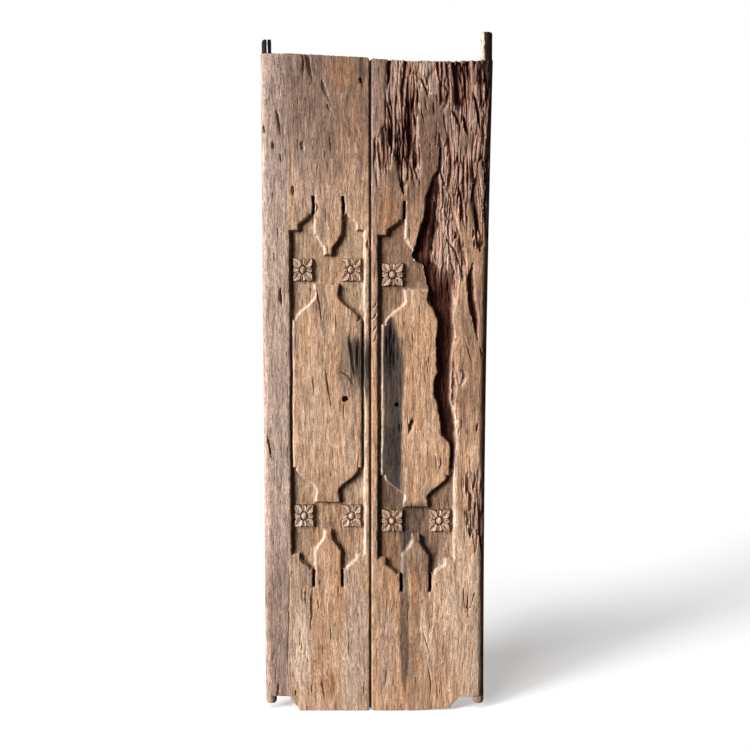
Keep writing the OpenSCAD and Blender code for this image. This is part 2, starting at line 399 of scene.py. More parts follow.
@dataclass(frozen=True)
class Panel:
    """A sunk panel round a raised cartouche, in millimetres from the seam edge and the floor."""

    width: float
    strip: float
    foot: float
    rosette_w: float
    rosette_places: tuple[tuple[int, int], ...]
    height: float = 671.0
    corner_step: Point = (17.0, 8.0)
    bracket_h: float = 32.0
    ledge: float = 6.0
    slot: Point = (8.0, 69.0)
    tongue: Point = (52.0, 50.0)
    tongue_side: float = 9.0
    tongue_tip: Point = (13.0, 9.0)
    tongue_nick: float = 3.0
    cartouche_w: float = 138.0
    cartouche_gap: float = 112.0
    neck: Point = (47.0, 19.0)
    neck_pinch: float = 3.0
    shoulder: float = 73.0
    low_shoulder: float = 73.0
    head_shift: float = 0.0
    shoulder_step: Point = (7.0, 3.0)
    rosette_h: float = 48.0
    rosette_u: float = 49.0
    rosette_gap: float = 81.0

    @property
    def centre(self) -> Point:
        """The middle of the panel."""
        return self.strip + self.width / 2, self.foot + self.height / 2

    def outline(self) -> Array:
        """Lays out the sunk ground.

        Returns:
            Corners of its outline.
        """
        half_w, half_h = self.width / 2, self.height / 2
        slot_in = self.tongue[0] / 2
        slot_out = slot_in + self.slot[0]
        step_u = half_w - self.corner_step[0]
        quarter = [(half_w, half_h), (step_u, half_h)]
        bracket = (slot_out + self.ledge, half_h + self.bracket_h)
        quarter += ogee((step_u, half_h + self.corner_step[1]), bracket)
        quarter += [
            (slot_out, half_h + self.bracket_h),
            (slot_out, half_h + self.slot[1]),
            (slot_in, half_h + self.slot[1]),
            (slot_in, half_h - self.tongue_side),
        ]
        tip = (self.tongue_tip[0] / 2, half_h - self.tongue[1] + self.tongue_tip[1])
        quarter += ogee((slot_in - self.tongue_nick, half_h - self.tongue_side), tip)
        quarter.append((self.tongue_tip[0] / 2, half_h - self.tongue[1]))
        return from_quarter(quarter) + self.centre

    def cartouche(self) -> Array:
        """Lays out the raised cartouche.

        Returns:
            Corners of its outline.
        """
        half_w, half_h = self.cartouche_w / 2, self.height / 2 - self.cartouche_gap
        inner = half_w - self.shoulder_step[0]
        quarter = [(half_w, half_h - self.shoulder), (inner, half_h - self.shoulder)]
        quarter += ogee(
            (inner, half_h - self.shoulder + self.shoulder_step[1]),
            (self.neck[0] / 2 - self.neck_pinch, half_h - self.neck[1]),
        )
        quarter.append((self.neck[0] / 2, half_h))
        points = from_quarter(quarter)
        low = points[:, 1] < 0
        points[low, 1] = (points[low, 1] + half_h) * self.low_shoulder / self.shoulder - half_h
        return points + self.centre

    def rosette_centres(self) -> list[Point]:
        """Places the rosettes that are left.

        Returns:
            The centre of each.
        """
        u, z = self.centre
        rise = self.height / 2 - self.rosette_gap
        return [(u + a * self.rosette_u, z + b * rise) for a, b in self.rosette_places]


def wood_mesh(name: str, points: Array, faces: Array) -> bpy.types.Mesh:
    """Makes a mesh from quads, leaving out the points that no quad uses.

    Args:
        name: Name of the mesh.
        points: Places in metres.
        faces: Four point numbers for each face; a triangle repeats its last.

    Returns:
        The mesh.
    """
    used, renumbered = np.unique(faces, return_inverse=True)
    faces = renumbered.reshape(faces.shape)
    triangle = faces[:, 2] == faces[:, 3]
    counts = np.where(triangle, 3, 4)
    keep = np.ones(faces.shape, bool)
    keep[triangle, 3] = False
    loops = faces[keep]
    mesh = bpy.data.meshes.new(name)
    mesh.vertices.add(len(used))
    mesh.vertices.foreach_set("co", points[used].astype(np.float32).ravel())
    mesh.loops.add(len(loops))
    mesh.loops.foreach_set("vertex_index", loops.astype(np.int32))
    mesh.polygons.add(len(faces))
    starts = np.concatenate([[0], np.cumsum(counts)[:-1]])
    mesh.polygons.foreach_set("loop_start", starts.astype(np.int32))
    mesh.update(calc_edges=True)
    mesh.validate()
    return mesh


def slab_faces(keep: Array, flip: bool) -> Array:
    """Joins a front grid and a back grid of points into one closed skin.

    Args:
        keep: Which cells of the grid are wood.
        flip: Whether the grid runs against X.

    Returns:
        Quads; the back's point numbers follow the front's.
    """
    rows, cols = keep.shape
    number = np.arange((rows + 1) * (cols + 1)).reshape(rows + 1, cols + 1)
    back = number.size
    a, b = number[:-1, :-1], number[:-1, 1:]
    c, d = number[1:, 1:], number[1:, :-1]
    front = np.stack([a[keep], b[keep], c[keep], d[keep]], axis=1)
    skins = [front, front[:, ::-1] + back]
    padded = np.pad(keep, 1)
    sides = (
        (a, b, padded[:-2, 1:-1]),
        (b, c, padded[1:-1, 2:]),
        (c, d, padded[2:, 1:-1]),
        (d, a, padded[1:-1, :-2]),
    )
    for first, second, neighbour in sides:
        rim = keep & ~neighbour
        p, q = first[rim], second[rim]
        skins.append(np.stack([q, p, p + back, q + back], axis=1))
    faces = np.concatenate(skins)
    return faces[:, ::-1] if flip else faces


def stacked_faces(rings: int, around: int) -> Array:
    """Joins stacked rings of points, closed by a point at each end.

    Args:
        rings: Number of rings, from the foot up.
        around: Points in each ring, running anticlockwise from above.

    Returns:
        Quads and triangles; the foot's and the head's end points come last.
    """
    number = np.arange(rings * around).reshape(rings, around)
    turned = np.roll(number, -1, axis=1)
    walls = np.stack([number[:-1], turned[:-1], turned[1:], number[1:]], axis=-1).reshape(-1, 4)
    foot, head = rings * around, rings * around + 1
    foot_point = np.full(around, foot)
    head_point = np.full(around, head)
    foot_fan = np.stack([turned[0], number[0], foot_point, foot_point], axis=1)
    head_fan = np.stack([number[-1], turned[-1], head_point, head_point], axis=1)
    return np.concatenate([walls, foot_fan, head_fan])


class NodeKit:
    """Short ways to add nodes to one tree."""

    def __init__(self, tree: bpy.types.NodeTree) -> None:
        """Keeps the tree."""
        self.tree = tree

    def put(self, socket: Socket, value: Value) -> None:
        """Links a socket or sets a plain value.

        Args:
            socket: The input to set.
            value: Another node's output, or a plain value.
        """
        if isinstance(value, bpy.types.NodeSocket):
            self.tree.links.new(value, socket)
        else:
            socket.default_value = value

    def math(self, kind: str, a: Value, b: Value, clamp: bool = False) -> Socket:
        """Adds a Math node.

        Args:
            kind: Its operation.
            a: First value.
            b: Second value.
            clamp: Whether the result stays between 0 and 1.

        Returns:
            The result.
        """
        node = self.tree.nodes.new("ShaderNodeMath")
        node.operation = kind
        node.use_clamp = clamp
        self.put(node.inputs[0], a)
        self.put(node.inputs[1], b)
        return node.outputs[0]

    def vector(self, kind: str, a: Value, b: Value, second: int | str = 1) -> Socket:
        """Adds a Vector Math node.

        Args:
            kind: Its operation.
            a: First vector.
            b: Second vector or number.
            second: Which input the second goes to.

        Returns:
            The resulting vector.
        """
        node = self.tree.nodes.new("ShaderNodeVectorMath")
        node.operation = kind
        self.put(node.inputs[0], a)
        self.put(node.inputs[second], b)
        return node.outputs[0]

    def times(self, a: Value, amount: Value) -> Socket:
        """Multiplies a colour or a place by a number."""
        return self.vector("SCALE", a, amount, "Scale")

    def stretched(self, place: Socket, scale: tuple[float, float, float]) -> Socket:
        """Multiplies a place by a scale for each axis."""
        return self.vector("MULTIPLY", place, scale)

    def along_x(self, x: Value) -> Socket:
        """Makes a vector along X.

        Args:
            x: Its length.

        Returns:
            The vector.
        """
        node = self.tree.nodes.new("ShaderNodeCombineXYZ")
        self.put(node.inputs["X"], x)
        return node.outputs[0]

    def noise(self, place: Socket, detail: float) -> Socket:
        """Adds a Noise Texture.

        Args:
            place: Where it is read, in cells.
            detail: How many finer layers it has.

        Returns:
            Its factor.
        """
        node = self.tree.nodes.new("ShaderNodeTexNoise")
        self.put(node.inputs["Vector"], place)
        node.inputs["Scale"].default_value = 1.0
        node.inputs["Detail"].default_value = detail
        return node.outputs[0]

    def map_range(self, value: Value, low: float, high: float, out_low: float, out_high: float) -> Socket:
        """Adds a clamped Map Range node.

        Args:
            value: What is mapped.
            low: Where it starts.
            high: Where it ends.
            out_low: Result at the start.
            out_high: Result at the end.

        Returns:
            The result.
        """
        node = self.tree.nodes.new("ShaderNodeMapRange")
        settings = {"Value": value, "From Min": low, "From Max": high, "To Min": out_low, "To Max": out_high}
        for name, setting in settings.items():
            self.put(node.inputs[name], setting)
        return node.outputs[0]

    def attribute(self, mask: Mask) -> Socket:
        """Reads one of the mesh's masks.

        Args:
            mask: Which one.

        Returns:
            Its strength.
        """
        node = self.tree.nodes.new("ShaderNodeAttribute")
        node.attribute_type = "GEOMETRY"
        node.attribute_name = mask.value
        return node.outputs["Fac"]

    def mix(self, factor: Value, a: Value, b: Value) -> Socket:
        """Mixes two colours.

        Args:
            factor: Share of the second colour.
            a: First colour.
            b: Second colour.

        Returns:
            The mixed colour.
        """
        node = self.tree.nodes.new("ShaderNodeMix")
        node.data_type = "RGBA"
        self.put(node.inputs["Factor"], factor)
        self.put(node.inputs[6], a)
        self.put(node.inputs[7], b)
        return node.outputs[2]

    def group(self, tree: bpy.types.NodeTree) -> bpy.types.Node:
        """Places a shared node group.

        Args:
            tree: The group.

        Returns:
            The node that holds it.
        """
        node = self.tree.nodes.new("ShaderNodeGroup")
        node.node_tree = tree
        return node


class SharedGroup:
    """A node group that is built once and placed in each material."""

    NAME: ClassVar[str]
    INPUTS: ClassVar[dict[str, str]]
    OUTPUTS: ClassVar[dict[str, str]]

    @classmethod
    def get(cls) -> bpy.types.NodeTree:
        """Returns the group, built on first use."""
        return bpy.data.node_groups.get(cls.NAME) or cls.build()

    @classmethod
    def build(cls) -> bpy.types.NodeTree:
        """Builds the group from its named sockets and what fill gives.

        Returns:
            The group.
        """
        tree = bpy.data.node_groups.new(cls.NAME, "ShaderNodeTree")
        for way, sockets in (("INPUT", cls.INPUTS), ("OUTPUT", cls.OUTPUTS)):
            for name, kind in sockets.items():
                tree.interface.new_socket(name=name, in_out=way, socket_type=f"NodeSocket{kind}")
        given = tree.nodes.new("NodeGroupInput").outputs
        out = tree.nodes.new("NodeGroupOutput").inputs
        for name, value in cls.fill(NodeKit(tree), given).items():
            tree.links.new(value, out[name])
        return tree

    @classmethod
    def fill(cls, kit: NodeKit, given: bpy.types.NodeOutputs) -> dict[str, Socket]:
        """Adds the group's nodes and gives what goes to each output."""
        raise NotImplementedError


class GrainGroup(SharedGroup):
    """Teak grain: colour streaks, fibres, pores and their height."""

    NAME = "teak grain"
    SHADES = ("Tone", "Streak", "Band", "Fibre", "Speck", "Pore")
    INPUTS = {"Wander": "Float", "Fibre Size": "Float"}
    OUTPUTS = dict.fromkeys((*SHADES, "Height"), "Float")

    # Cells to a metre along X, Y and Z, and detail
    BEND = ((16.0, 16.0, 6.0), 3.0)
    LAYERS = {
        "Tone": ((24.0, 20.0, 3.4), 3.0),
        "Streak": ((70.0, 50.0, 6.0), 5.0),
        "Band": ((260.0, 150.0, 24.0), 4.0),
        "Speck": ((560.0, 420.0, 190.0), 2.0),
        "Pore": ((520.0, 320.0, 62.0), 2.0),
    }
    FIBRE_SHAPE = (1.0, 0.6, 0.11)
    FIBRE_DETAIL = 3.0
    PORE_RANGE = (0.63, 0.72, 0.0, 1.0)
    SPECK_HEIGHT = 1.5
    PORE_DEPTH = 0.8

    @classmethod
    def fill(cls, kit: NodeKit, given: bpy.types.NodeOutputs) -> dict[str, Socket]:
        """Reads each layer of the grain on the object's own coordinates, bent a little sideways.

        Args:
            kit: Adds the nodes.
            given: The group's inputs.

        Returns:
            What goes to each output.
        """
        place = kit.tree.nodes.new("ShaderNodeTexCoord").outputs["Object"]
        scale, detail = cls.BEND
        bend = kit.math("SUBTRACT", kit.noise(kit.stretched(place, scale), detail), 0.5)
        bent = kit.vector("ADD", place, kit.along_x(kit.math("MULTIPLY", bend, given["Wander"])))
        grain = {}
        for name, (scale, detail) in cls.LAYERS.items():
            grain[name] = kit.noise(kit.stretched(bent, scale), detail)
        density = kit.math("DIVIDE", 1.0, given["Fibre Size"])
        thin = kit.times(kit.stretched(bent, cls.FIBRE_SHAPE), density)
        grain["Fibre"] = kit.noise(thin, cls.FIBRE_DETAIL)
        grain["Pore"] = kit.map_range(grain["Pore"], *cls.PORE_RANGE)
        specks = kit.math("MULTIPLY", grain["Speck"], cls.SPECK_HEIGHT)
        raised = kit.math("ADD", kit.math("ADD", grain["Fibre"], specks), grain["Band"])
        sunk = kit.math("MULTIPLY", grain["Pore"], cls.PORE_DEPTH)
        grain["Height"] = kit.math("SUBTRACT", raised, sunk)
        return grain


class PatinaGroup(SharedGroup):
    """Weather, stain, soot and rust, with painted highlight and shade, laid over the wood's own colour."""

    NAME = "teak patina"
    WOODS = ("Light Wood", "Dark Wood", "Warm Wood", "Dull Wood")
    INPUTS = {
        **dict.fromkeys(WOODS, "Color"),
        **dict.fromkeys(GrainGroup.SHADES, "Float"),
        **{mask.value: "Color" for mask in Mask},
    }
    OUTPUTS = {"Colour": "Color"}

    # Where a shade of the grain starts and ends, and what it is worth there
    STREAKS = (0.34, 0.64, 0.0, 1.0)
    WARMTH = (0.50, 0.68, 0.0, 0.55)
    DULLNESS = (0.48, 0.32, 0.0, 0.50)
    TINTS = {
        "Band": (0.3, 0.7, 0.60, 1.38),
        "Fibre": (0.25, 0.75, 0.54, 1.45),
        "Speck": (0.3, 0.7, 0.70, 1.30),
        "Pore": (0.0, 1.0, 1.0, 0.36),
    }
    RAGGED = 1.1

    @classmethod
    def fill(cls, kit: NodeKit, given: bpy.types.NodeOutputs) -> dict[str, Socket]:
        """Lays the colours one over another, with ragged edges, and tints them by the grain.

        Args:
            kit: Adds the nodes.
            given: The group's inputs.

        Returns:
            What goes to each output.
        """
        streaks = kit.map_range(given["Streak"], *cls.STREAKS)
        colour = kit.mix(streaks, given["Dark Wood"], given["Light Wood"])
        colour = kit.mix(kit.map_range(given["Tone"], *cls.WARMTH), colour, given["Warm Wood"])
        colour = kit.mix(kit.map_range(given["Tone"], *cls.DULLNESS), colour, given["Dull Wood"])
        ragged = kit.math("MULTIPLY", kit.math("SUBTRACT", given["Streak"], 0.5), cls.RAGGED)
        for mask in Mask:
            amount = kit.attribute(mask)
            # 4 a (1 - a) is 1 where a colour is half there, and 0 where it is whole or missing
            both = kit.math("MULTIPLY", amount, kit.math("SUBTRACT", 1.0, amount))
            edge = kit.math("MULTIPLY", both, 4.0)
            worn = kit.math("ADD", amount, kit.math("MULTIPLY", edge, ragged), clamp=True)
            colour = kit.mix(worn, colour, given[mask.value])
        for shade, values in cls.TINTS.items():
            colour = kit.times(colour, kit.map_range(given[shade], *values))
        return {"Colour": colour}


@dataclass(frozen=True)
class TeakFinish:
    """Old dry teak, with the colour of each thing that weather has done to it, and the colours of painted
    highlight and shade.
    """

    slot: str
    light: Colour
    dark: Colour
    grey: Colour
    ground: Colour
    eroded: Colour
    stain: Colour = (0.030, 0.029, 0.031)
    char: Colour = (0.006, 0.006, 0.0065)
    rust: Colour = (0.36, 0.15, 0.055)
    # Colour of pale wood, which is also the painted highlight
    pale_and_highlight: Colour = (0.70, 0.55, 0.44)
    brown: Colour = (0.19, 0.105, 0.072)
    # Colour of dirt in hollows, which is also the painted shade
    deep: Colour = (0.055, 0.017, 0.010)
    warm: Colour = (0.60, 0.345, 0.20)
    dull: Colour = (0.47, 0.335, 0.25)
    sheen: float = 0.1
    roughness: tuple[float, float, float, float] = (0.3, 0.7, 0.92, 0.74)
    bump: float = 0.8
    bump_height: float = 0.0009
    fibre: float = 0.0019
    wander: float = 0.024

    def material(self) -> bpy.types.Material:
        """Builds the material.

        Returns:
            The material, named after its slot.
        """
        material = bpy.data.materials.new(self.slot)
        material.use_nodes = True
        tree = material.node_tree
        kit = NodeKit(tree)
        shader = tree.nodes["Principled BSDF"].inputs
        grain = kit.group(GrainGroup.get())
        grain.inputs["Wander"].default_value = self.wander
        grain.inputs["Fibre Size"].default_value = self.fibre
        patina = kit.group(PatinaGroup.get())
        colours = dict(zip(PatinaGroup.WOODS, (self.light, self.dark, self.warm, self.dull)))
        colours.update({mask.value: getattr(self, mask.value) for mask in Mask})
        for name, colour in colours.items():
            patina.inputs[name].default_value = (*colour, 1.0)
        for name in GrainGroup.SHADES:
            tree.links.new(grain.outputs[name], patina.inputs[name])
        tree.links.new(patina.outputs["Colour"], shader["Base Color"])
        tree.links.new(kit.map_range(grain.outputs["Fibre"], *self.roughness), shader["Roughness"])
        shader["Specular IOR Level"].default_value = self.sheen
        bump = tree.nodes.new("ShaderNodeBump")
        bump.inputs["Strength"].default_value = self.bump
        bump.inputs["Distance"].default_value = self.bump_height
        tree.links.new(grain.outputs["Height"], bump.inputs["Height"])
        tree.links.new(bump.outputs["Normal"], shader["Normal"])
        return material


TEAK = TeakFinish(
    slot="teak",
    light=(0.605, 0.393, 0.256),
    dark=(0.42, 0.25, 0.158),
    grey=(0.47, 0.34, 0.28),
    ground=(0.45, 0.30, 0.20),
    eroded=(0.40, 0.28, 0.21),
)
WEATHERED_TEAK = TeakFinish(
    slot="weathered_teak",
    light=(0.63, 0.393, 0.245),
    dark=(0.42, 0.235, 0.130),
    grey=(0.36, 0.245, 0.200),
    ground=(0.28, 0.165, 0.105),
    eroded=(0.36, 0.195, 0.140),
    sheen=0.08,
)


@dataclass
class Leaf:
    """One window leaf: a plank with its carving, rosettes and pivots.

    Places on a leaf are millimetres from its seam edge and from the floor.
    """

    side: Side
    seam_edge: float
    width: float
    outer_h: float
    seam_rise: float
    taper: float
    bow: float
    head_dip: float
    head_lift: float
    head_wear: float
    foot_wear: Point
    hole: tuple[float, float, float]
    panel: Panel
    finish: TeakFinish
    seed: int
    head_level: float = 60.0
    notch_h: float = 31.0
    notch_top: float = 52.0
    notch_foot: float = 70.0
    column: float = 1.15
    row: float = 1.7
    edge_round: Point = (13.0, 13.0)
    splay: float = 8.0
    hole_depth: float = 26.0
    pivot_r: float = 13.0
    pivot_inset: float = 1.0
    foot_pivot_r: float = 11.5
    foot_pivot_l: float = 18.0
    rosette: Rosette = Rosette()
    pieces: list[bpy.types.Object] = field(default_factory=list)

    GROOVES: ClassVar[tuple[Groove, ...]] = ()
    BLOTCHES: ClassVar[tuple[Blotch | Patch, ...]] = ()

    SEAM_COLUMNS = (0, 0.3, 0.9, 1.7, 2.6)
    FIRST_COLUMN = 3.4
    BEND_COLUMNS = 11
    END_ROWS = (0, 0.5, 1.4, 2.6)
    FIRST_ROW = 4
    QUICK_SCALE = 2.2
    ROSETTE_CELL = 0.55
    STUB_SIDES = 48

    # How far the shape of the foot, the head and the outer edge reaches into the plank
    FOOT_REACH = 120
    HEAD_REACH = 60
    SQUARE_W = 150
    SPLAY_REACH = 40
    OUTER_STRIP = 22

    # Unevenness of the wood and of the cutting
    NOISES = 12
    FOOT_RIPPLE = Ripple(0.9, 3.1, 1)
    HEAD_RIPPLES = (Ripple(1.6, 11, 1), Ripple(0.9, 2.6, 1))
    CUT_ACROSS = (Ripple(0.8, 26, 34), Ripple(0.55, 6, 8, 90))
    CUT_ALONG = (Ripple(0.7, 22, 30), Ripple(0.55, 6, 8, 90))
    FLOOR_RIPPLES = (Ripple(0.5, 7, 11), Ripple(0.35, 2.6, 5, 9))
    GROOVE_RIPPLES = (Ripple(1.3, 8, 17), Ripple(0.6, 3, 6, 40))
    FACE_RIPPLES = (Ripple(0.16, 6, 60), Ripple(0.18, 2.6, 18, 30), Ripple(0.5, 17, 34, 70))
    BACK_RIPPLES = (Ripple(0.5, 14, 140, 60), Ripple(0.3, 3.4, 40, 90))
    STAIN_RIPPLES = (Ripple(0.6, 5, 45), Ripple(0.4, 14, 120, 17))
    PETAL_ACROSS = Ripple(0.5, 6, 6)
    PETAL_ALONG = Ripple(0.5, 6, 6, 31)
    TOOL_MARKS = Ripple(0.25, 2.2, 2.2, 5)
    FRAY = Ripple(0.8, 3, 9)
    STUB_END = Ripple(1.1, 2.5, 2.5)

    # Wear of the carving's edges, the rim of the pull hole, and the many small checks
    EDGE_WEAR = 0.55
    EDGE_WEAR_W = 3.2
    HOLE_RIM = 0.2
    CHECKS = 70
    CHECK_FADE = 0.3

    # How a rosette ends: its least height, and how far its skirt and its root go into the ground
    LEAST_RELIEF = 0.2
    SKIRT = 1.5
    ROOT = 2.5
    MARGIN = 2

    def __post_init__(self) -> None:
        """Draws the noises that this leaf uses."""
        self.noises = [Noise(self.seed + i) for i in range(self.NOISES)]
        self.look: bpy.types.Material | None = None

    @property
    def name(self) -> str:
        """The CAD node that this leaf stands for."""
        return f"{self.side.name.lower()}_leaf"

    @property
    def pivot_axis(self) -> float:
        """Distance of the head pivot's axis from the seam edge."""
        return self.width - self.pivot_inset - self.pivot_r

    def to_model(self, u: Array, y: Array, z: Array) -> Array:
        """Turns places on the leaf, in millimetres, into places in the model, in metres."""
        return np.stack([self.seam_edge + self.side.value * u, y, z], axis=-1) * MM

    def foot_profile(self, u: Array) -> Array:
        """Gives the height of the foot above the floor, with the notch beside the pivot.

        Args:
            u: Places across.

        Returns:
            Heights.
        """
        notch = self.width - self.taper - self.notch_foot
        worn, stretch = self.foot_wear
        base = worn * np.clip((u - notch + stretch) / max(stretch, TINY), 0, 1)
        t = np.clip((u - notch) / (self.notch_foot - self.notch_top), 0, 1)
        rise = np.arccos(1 - 2 * t) / np.pi
        rough = self.FOOT_RIPPLE.swing(self.noises[0], u, 0 * u + 0.5) * step(0, 12, u)
        lift = np.maximum(rough, 0) + worn_corner(u, 4.5, 9)
        return base + (self.notch_h - base) * rise + lift * (1 - rise)

    def head_profile(self, u: Array) -> Array:
        """Gives the height of the head, with its slope and ragged fibres.

        Args:
            u: Places across.

        Returns:
            Heights.
        """
        level = self.width - self.head_level
        across = np.clip(u / self.width, 0, 1)
        slope = self.seam_rise * np.clip(1 - u / level, 0, 1) - 4 * self.head_dip * across * (1 - across)
        coarse, fine = self.HEAD_RIPPLES
        n = self.noises[1]
        ragged = coarse.swing(n, u, 0 * u) + fine.swing(n, u, 0 * u + 7.5)
        return self.outer_h + self.head_lift + slope - np.abs(ragged) * self.head_wear - worn_corner(u, 5, 8)

    def grid(self) -> tuple[Array, Array, Array]:
        """Lays out the plank's points.

        Returns:
            Places across, places upwards, and places across on the untapered plank.
        """
        scale = 1.0
        bend_start = self.width - EDGE_R
        count = int((bend_start - self.FIRST_COLUMN) / (self.column * scale))
        middle = np.linspace(self.FIRST_COLUMN, bend_start, count)
        bend = np.linspace(0, np.pi / 2, self.BEND_COLUMNS)[1:]
        across = np.concatenate([self.SEAM_COLUMNS, middle, bend_start + EDGE_R * np.sin(bend)])
        count = int((self.outer_h - 2 * self.FIRST_ROW) / (self.row * scale))
        middle = np.linspace(self.FIRST_ROW, self.outer_h - self.FIRST_ROW, count)
        rows = np.concatenate([self.END_ROWS, middle, self.outer_h - np.array(self.END_ROWS[::-1])])
        flat, up = np.meshgrid(across, rows)
        foot = self.foot_profile(flat) * np.clip(1 - up / self.FOOT_REACH, 0, 1)
        near_head = np.clip(1 - (self.outer_h - up) / self.HEAD_REACH, 0, 1)
        z = up + foot + (self.head_profile(flat) - self.outer_h) * near_head
        inward = np.clip((flat - self.SQUARE_W) / (self.width - self.SQUARE_W), 0, 1)
        return flat - self.lost_width(z) * inward, z, flat

    def lost_width(self, z: Array) -> Array:
        """Gives the width that the leaf lacks at a height, by its taper and its bowed outer edge."""
        t = z / self.outer_h
        return self.taper * (1 - t) + 4 * self.bow * t * (1 - t)

    def wave(self, u: Array, z: Array) -> tuple[Array, Array]:
        """Moves places a little, as a hand-cut line wanders.

        Args:
            u: Places across.
            z: Places upwards.

        Returns:
            The moved places, across and upwards.
        """
        middle, top = self.panel.centre[0], self.panel.foot + self.panel.height
        at_head = step(74, 40, np.abs(u - middle)) * step(top - 66, top - 46, z)
        moved = u - self.panel.head_shift * at_head
        across = shaken(moved, self.CUT_ACROSS, self.noises[2], u, z)
        return across, shaken(z, self.CUT_ALONG, self.noises[3], u, z)

    def sunk(self, u: Array, z: Array) -> Array:
        """Gives the distance inside the sunk ground, negative on the raised wood.

        Args:
            u: Places across.
            z: Places upwards.

        Returns:
            Signed distances; far from the panel, a large negative one.
        """
        far, margin = -50.0, 8
        wu, wz = self.wave(u, z)
        gap = np.full(u.shape, far)
        outline = self.panel.outline()
        low, high = outline.min(axis=0) - margin, outline.max(axis=0) + margin
        near = (u > low[0]) & (u < high[0]) & (z > low[1]) & (z < high[1])
        ground = inside_distance(wu[near], wz[near], outline)
        raised = inside_distance(wu[near], wz[near], self.panel.cartouche())
        gap[near] = np.minimum(ground, -raised)
        return gap

    def sunk_slope(self, u: Array, z: Array, reach: float) -> tuple[Array, Array]:
        """Gives how much the distance inside the sunk ground changes over twice a reach.

        Args:
            u: Places across.
            z: Places upwards.
            reach: How far to look to each side.

        Returns:
            The changes across and upwards.
        """
        across = self.sunk(u + reach, z) - self.sunk(u - reach, z)
        return across, self.sunk(u, z + reach) - self.sunk(u, z - reach)

    def snap(self, u: Array, z: Array) -> tuple[Array, Array]:
        """Moves points that lie close to the carving's edges onto them.

        Args:
            u: Places across, which are changed.
            z: Places upwards, which are changed.

        Returns:
            The moved places, across and upwards.
        """
        close_by, reach = 0.62, 0.1
        for level in (0.0, WALL_W):
            gap = self.sunk(u, z) - level
            close = np.abs(gap) < close_by
            across, upwards = self.sunk_slope(u[close], z[close], reach)
            size = np.maximum(np.hypot(across, upwards), TINY)
            u[close] -= gap[close] * across / size
            z[close] -= gap[close] * upwards / size
        return u, z

    def wall_width(self, z: Array) -> Array:
        """Gives the width of the carving's walls, which are upright in the saw-cut slots."""
        past = np.maximum(z - self.panel.foot - self.panel.height, self.panel.foot - z)
        return np.where(past > self.panel.bracket_h, SLOT_WALL_W, WALL_W)

    def carving(self, u: Array, z: Array) -> Array:
        """Gives the depth of the sunk ground.

        Args:
            u: Places across.
            z: Places upwards.

        Returns:
            Depths in millimetres.
        """
        gap = self.sunk(u, z)
        wall = self.wall_width(z)
        floor = shaken(CARVE_DEPTH, self.FLOOR_RIPPLES, self.noises[4], u, z) + SLOT_EXTRA * (wall < WALL_W)
        worn = self.EDGE_WEAR * step(-self.EDGE_WEAR_W, 0, gap)
        share = np.clip(gap / wall, 0, 1)
        return np.where(gap > 0, share * floor + self.EDGE_WEAR * (1 - share), worn)

    def erosion(self, u: Array, z: Array) -> tuple[Array, Array]:
        """Gives what weather has taken.

        Args:
            u: Places across.
            z: Places upwards.

        Returns:
            Depths, and how far the carving is gone.
        """
        wavering = shaken(u, self.GROOVE_RIPPLES, self.noises[10], u, z)
        depth = np.zeros(u.shape)
        for groove in self.GROOVES:
            depth = np.maximum(depth, groove.cut(wavering, z))
        return depth, np.zeros(u.shape)

    def checks(self, u: Array, z: Array) -> Array:
        """Gives the depth of the many small checks along the grain.

        Args:
            u: Places across.
            z: Places upwards.

        Returns:
            Depths in millimetres.
        """
        draw = np.random.default_rng(self.seed + 50)
        depth = np.zeros(u.shape)
        for _ in range(self.CHECKS):
            cu, cz = draw.uniform(6, self.width - 14), draw.uniform(40, self.outer_h - 20)
            length, lean = draw.uniform(9, 42), draw.uniform(-0.09, 0.06)
            path = ((cu, cz), (cu + lean * length, cz - length))
            groove = Groove(path, draw.uniform(1.6, 2.8), draw.uniform(1.2, 3.4))
            depth = np.maximum(depth, groove.cut(u, z))
        return depth

    def front(self, u: Array, z: Array, flat: Array) -> Array:
        """Gives the depth of the front below the plank's face.

        Args:
            u: Places across.
            z: Places upwards.
            flat: Places across on the untapered plank.

        Returns:
            Depths in millimetres.
        """
        lost, gone = self.erosion(u, z)
        carved = self.carving(u, z) * (1 - gone)
        ripple = roughness(self.FACE_RIPPLES, self.noises[11], u, z)
        small = np.maximum(self.checks(u, z) - self.CHECK_FADE * lost, 0)
        face = np.maximum(carved, lost) + small + ripple + self.rounding(flat, z)
        hu, hz, hr = self.hole
        return np.where(np.hypot(u - hu, z - hz) < hr - self.HOLE_RIM, self.hole_depth, face)

    def rounding(self, flat: Array, z: Array) -> Array:
        """Gives the rounding of the edges, the head and the foot.

        Args:
            flat: Places across on the untapered plank.
            z: Places upwards.

        Returns:
            Depths in millimetres.
        """
        reach, drop = self.edge_round
        past = np.clip((flat - (self.width - reach)) / reach, 0, 1)
        outer = drop * (1 - np.sqrt(1 - past ** 2))
        ends = np.maximum(arris(self.head_profile(flat) - z), arris(z - self.foot_profile(flat)))
        return np.minimum(np.maximum(outer, arris(flat)) + ends, max(drop, EDGE_R))

    def back(self, u: Array, z: Array, flat: Array) -> Array:
        """Gives the depth of the plain sawn back."""
        return roughness(self.BACK_RIPPLES, self.noises[11], u, z) + self.rounding(flat, z)

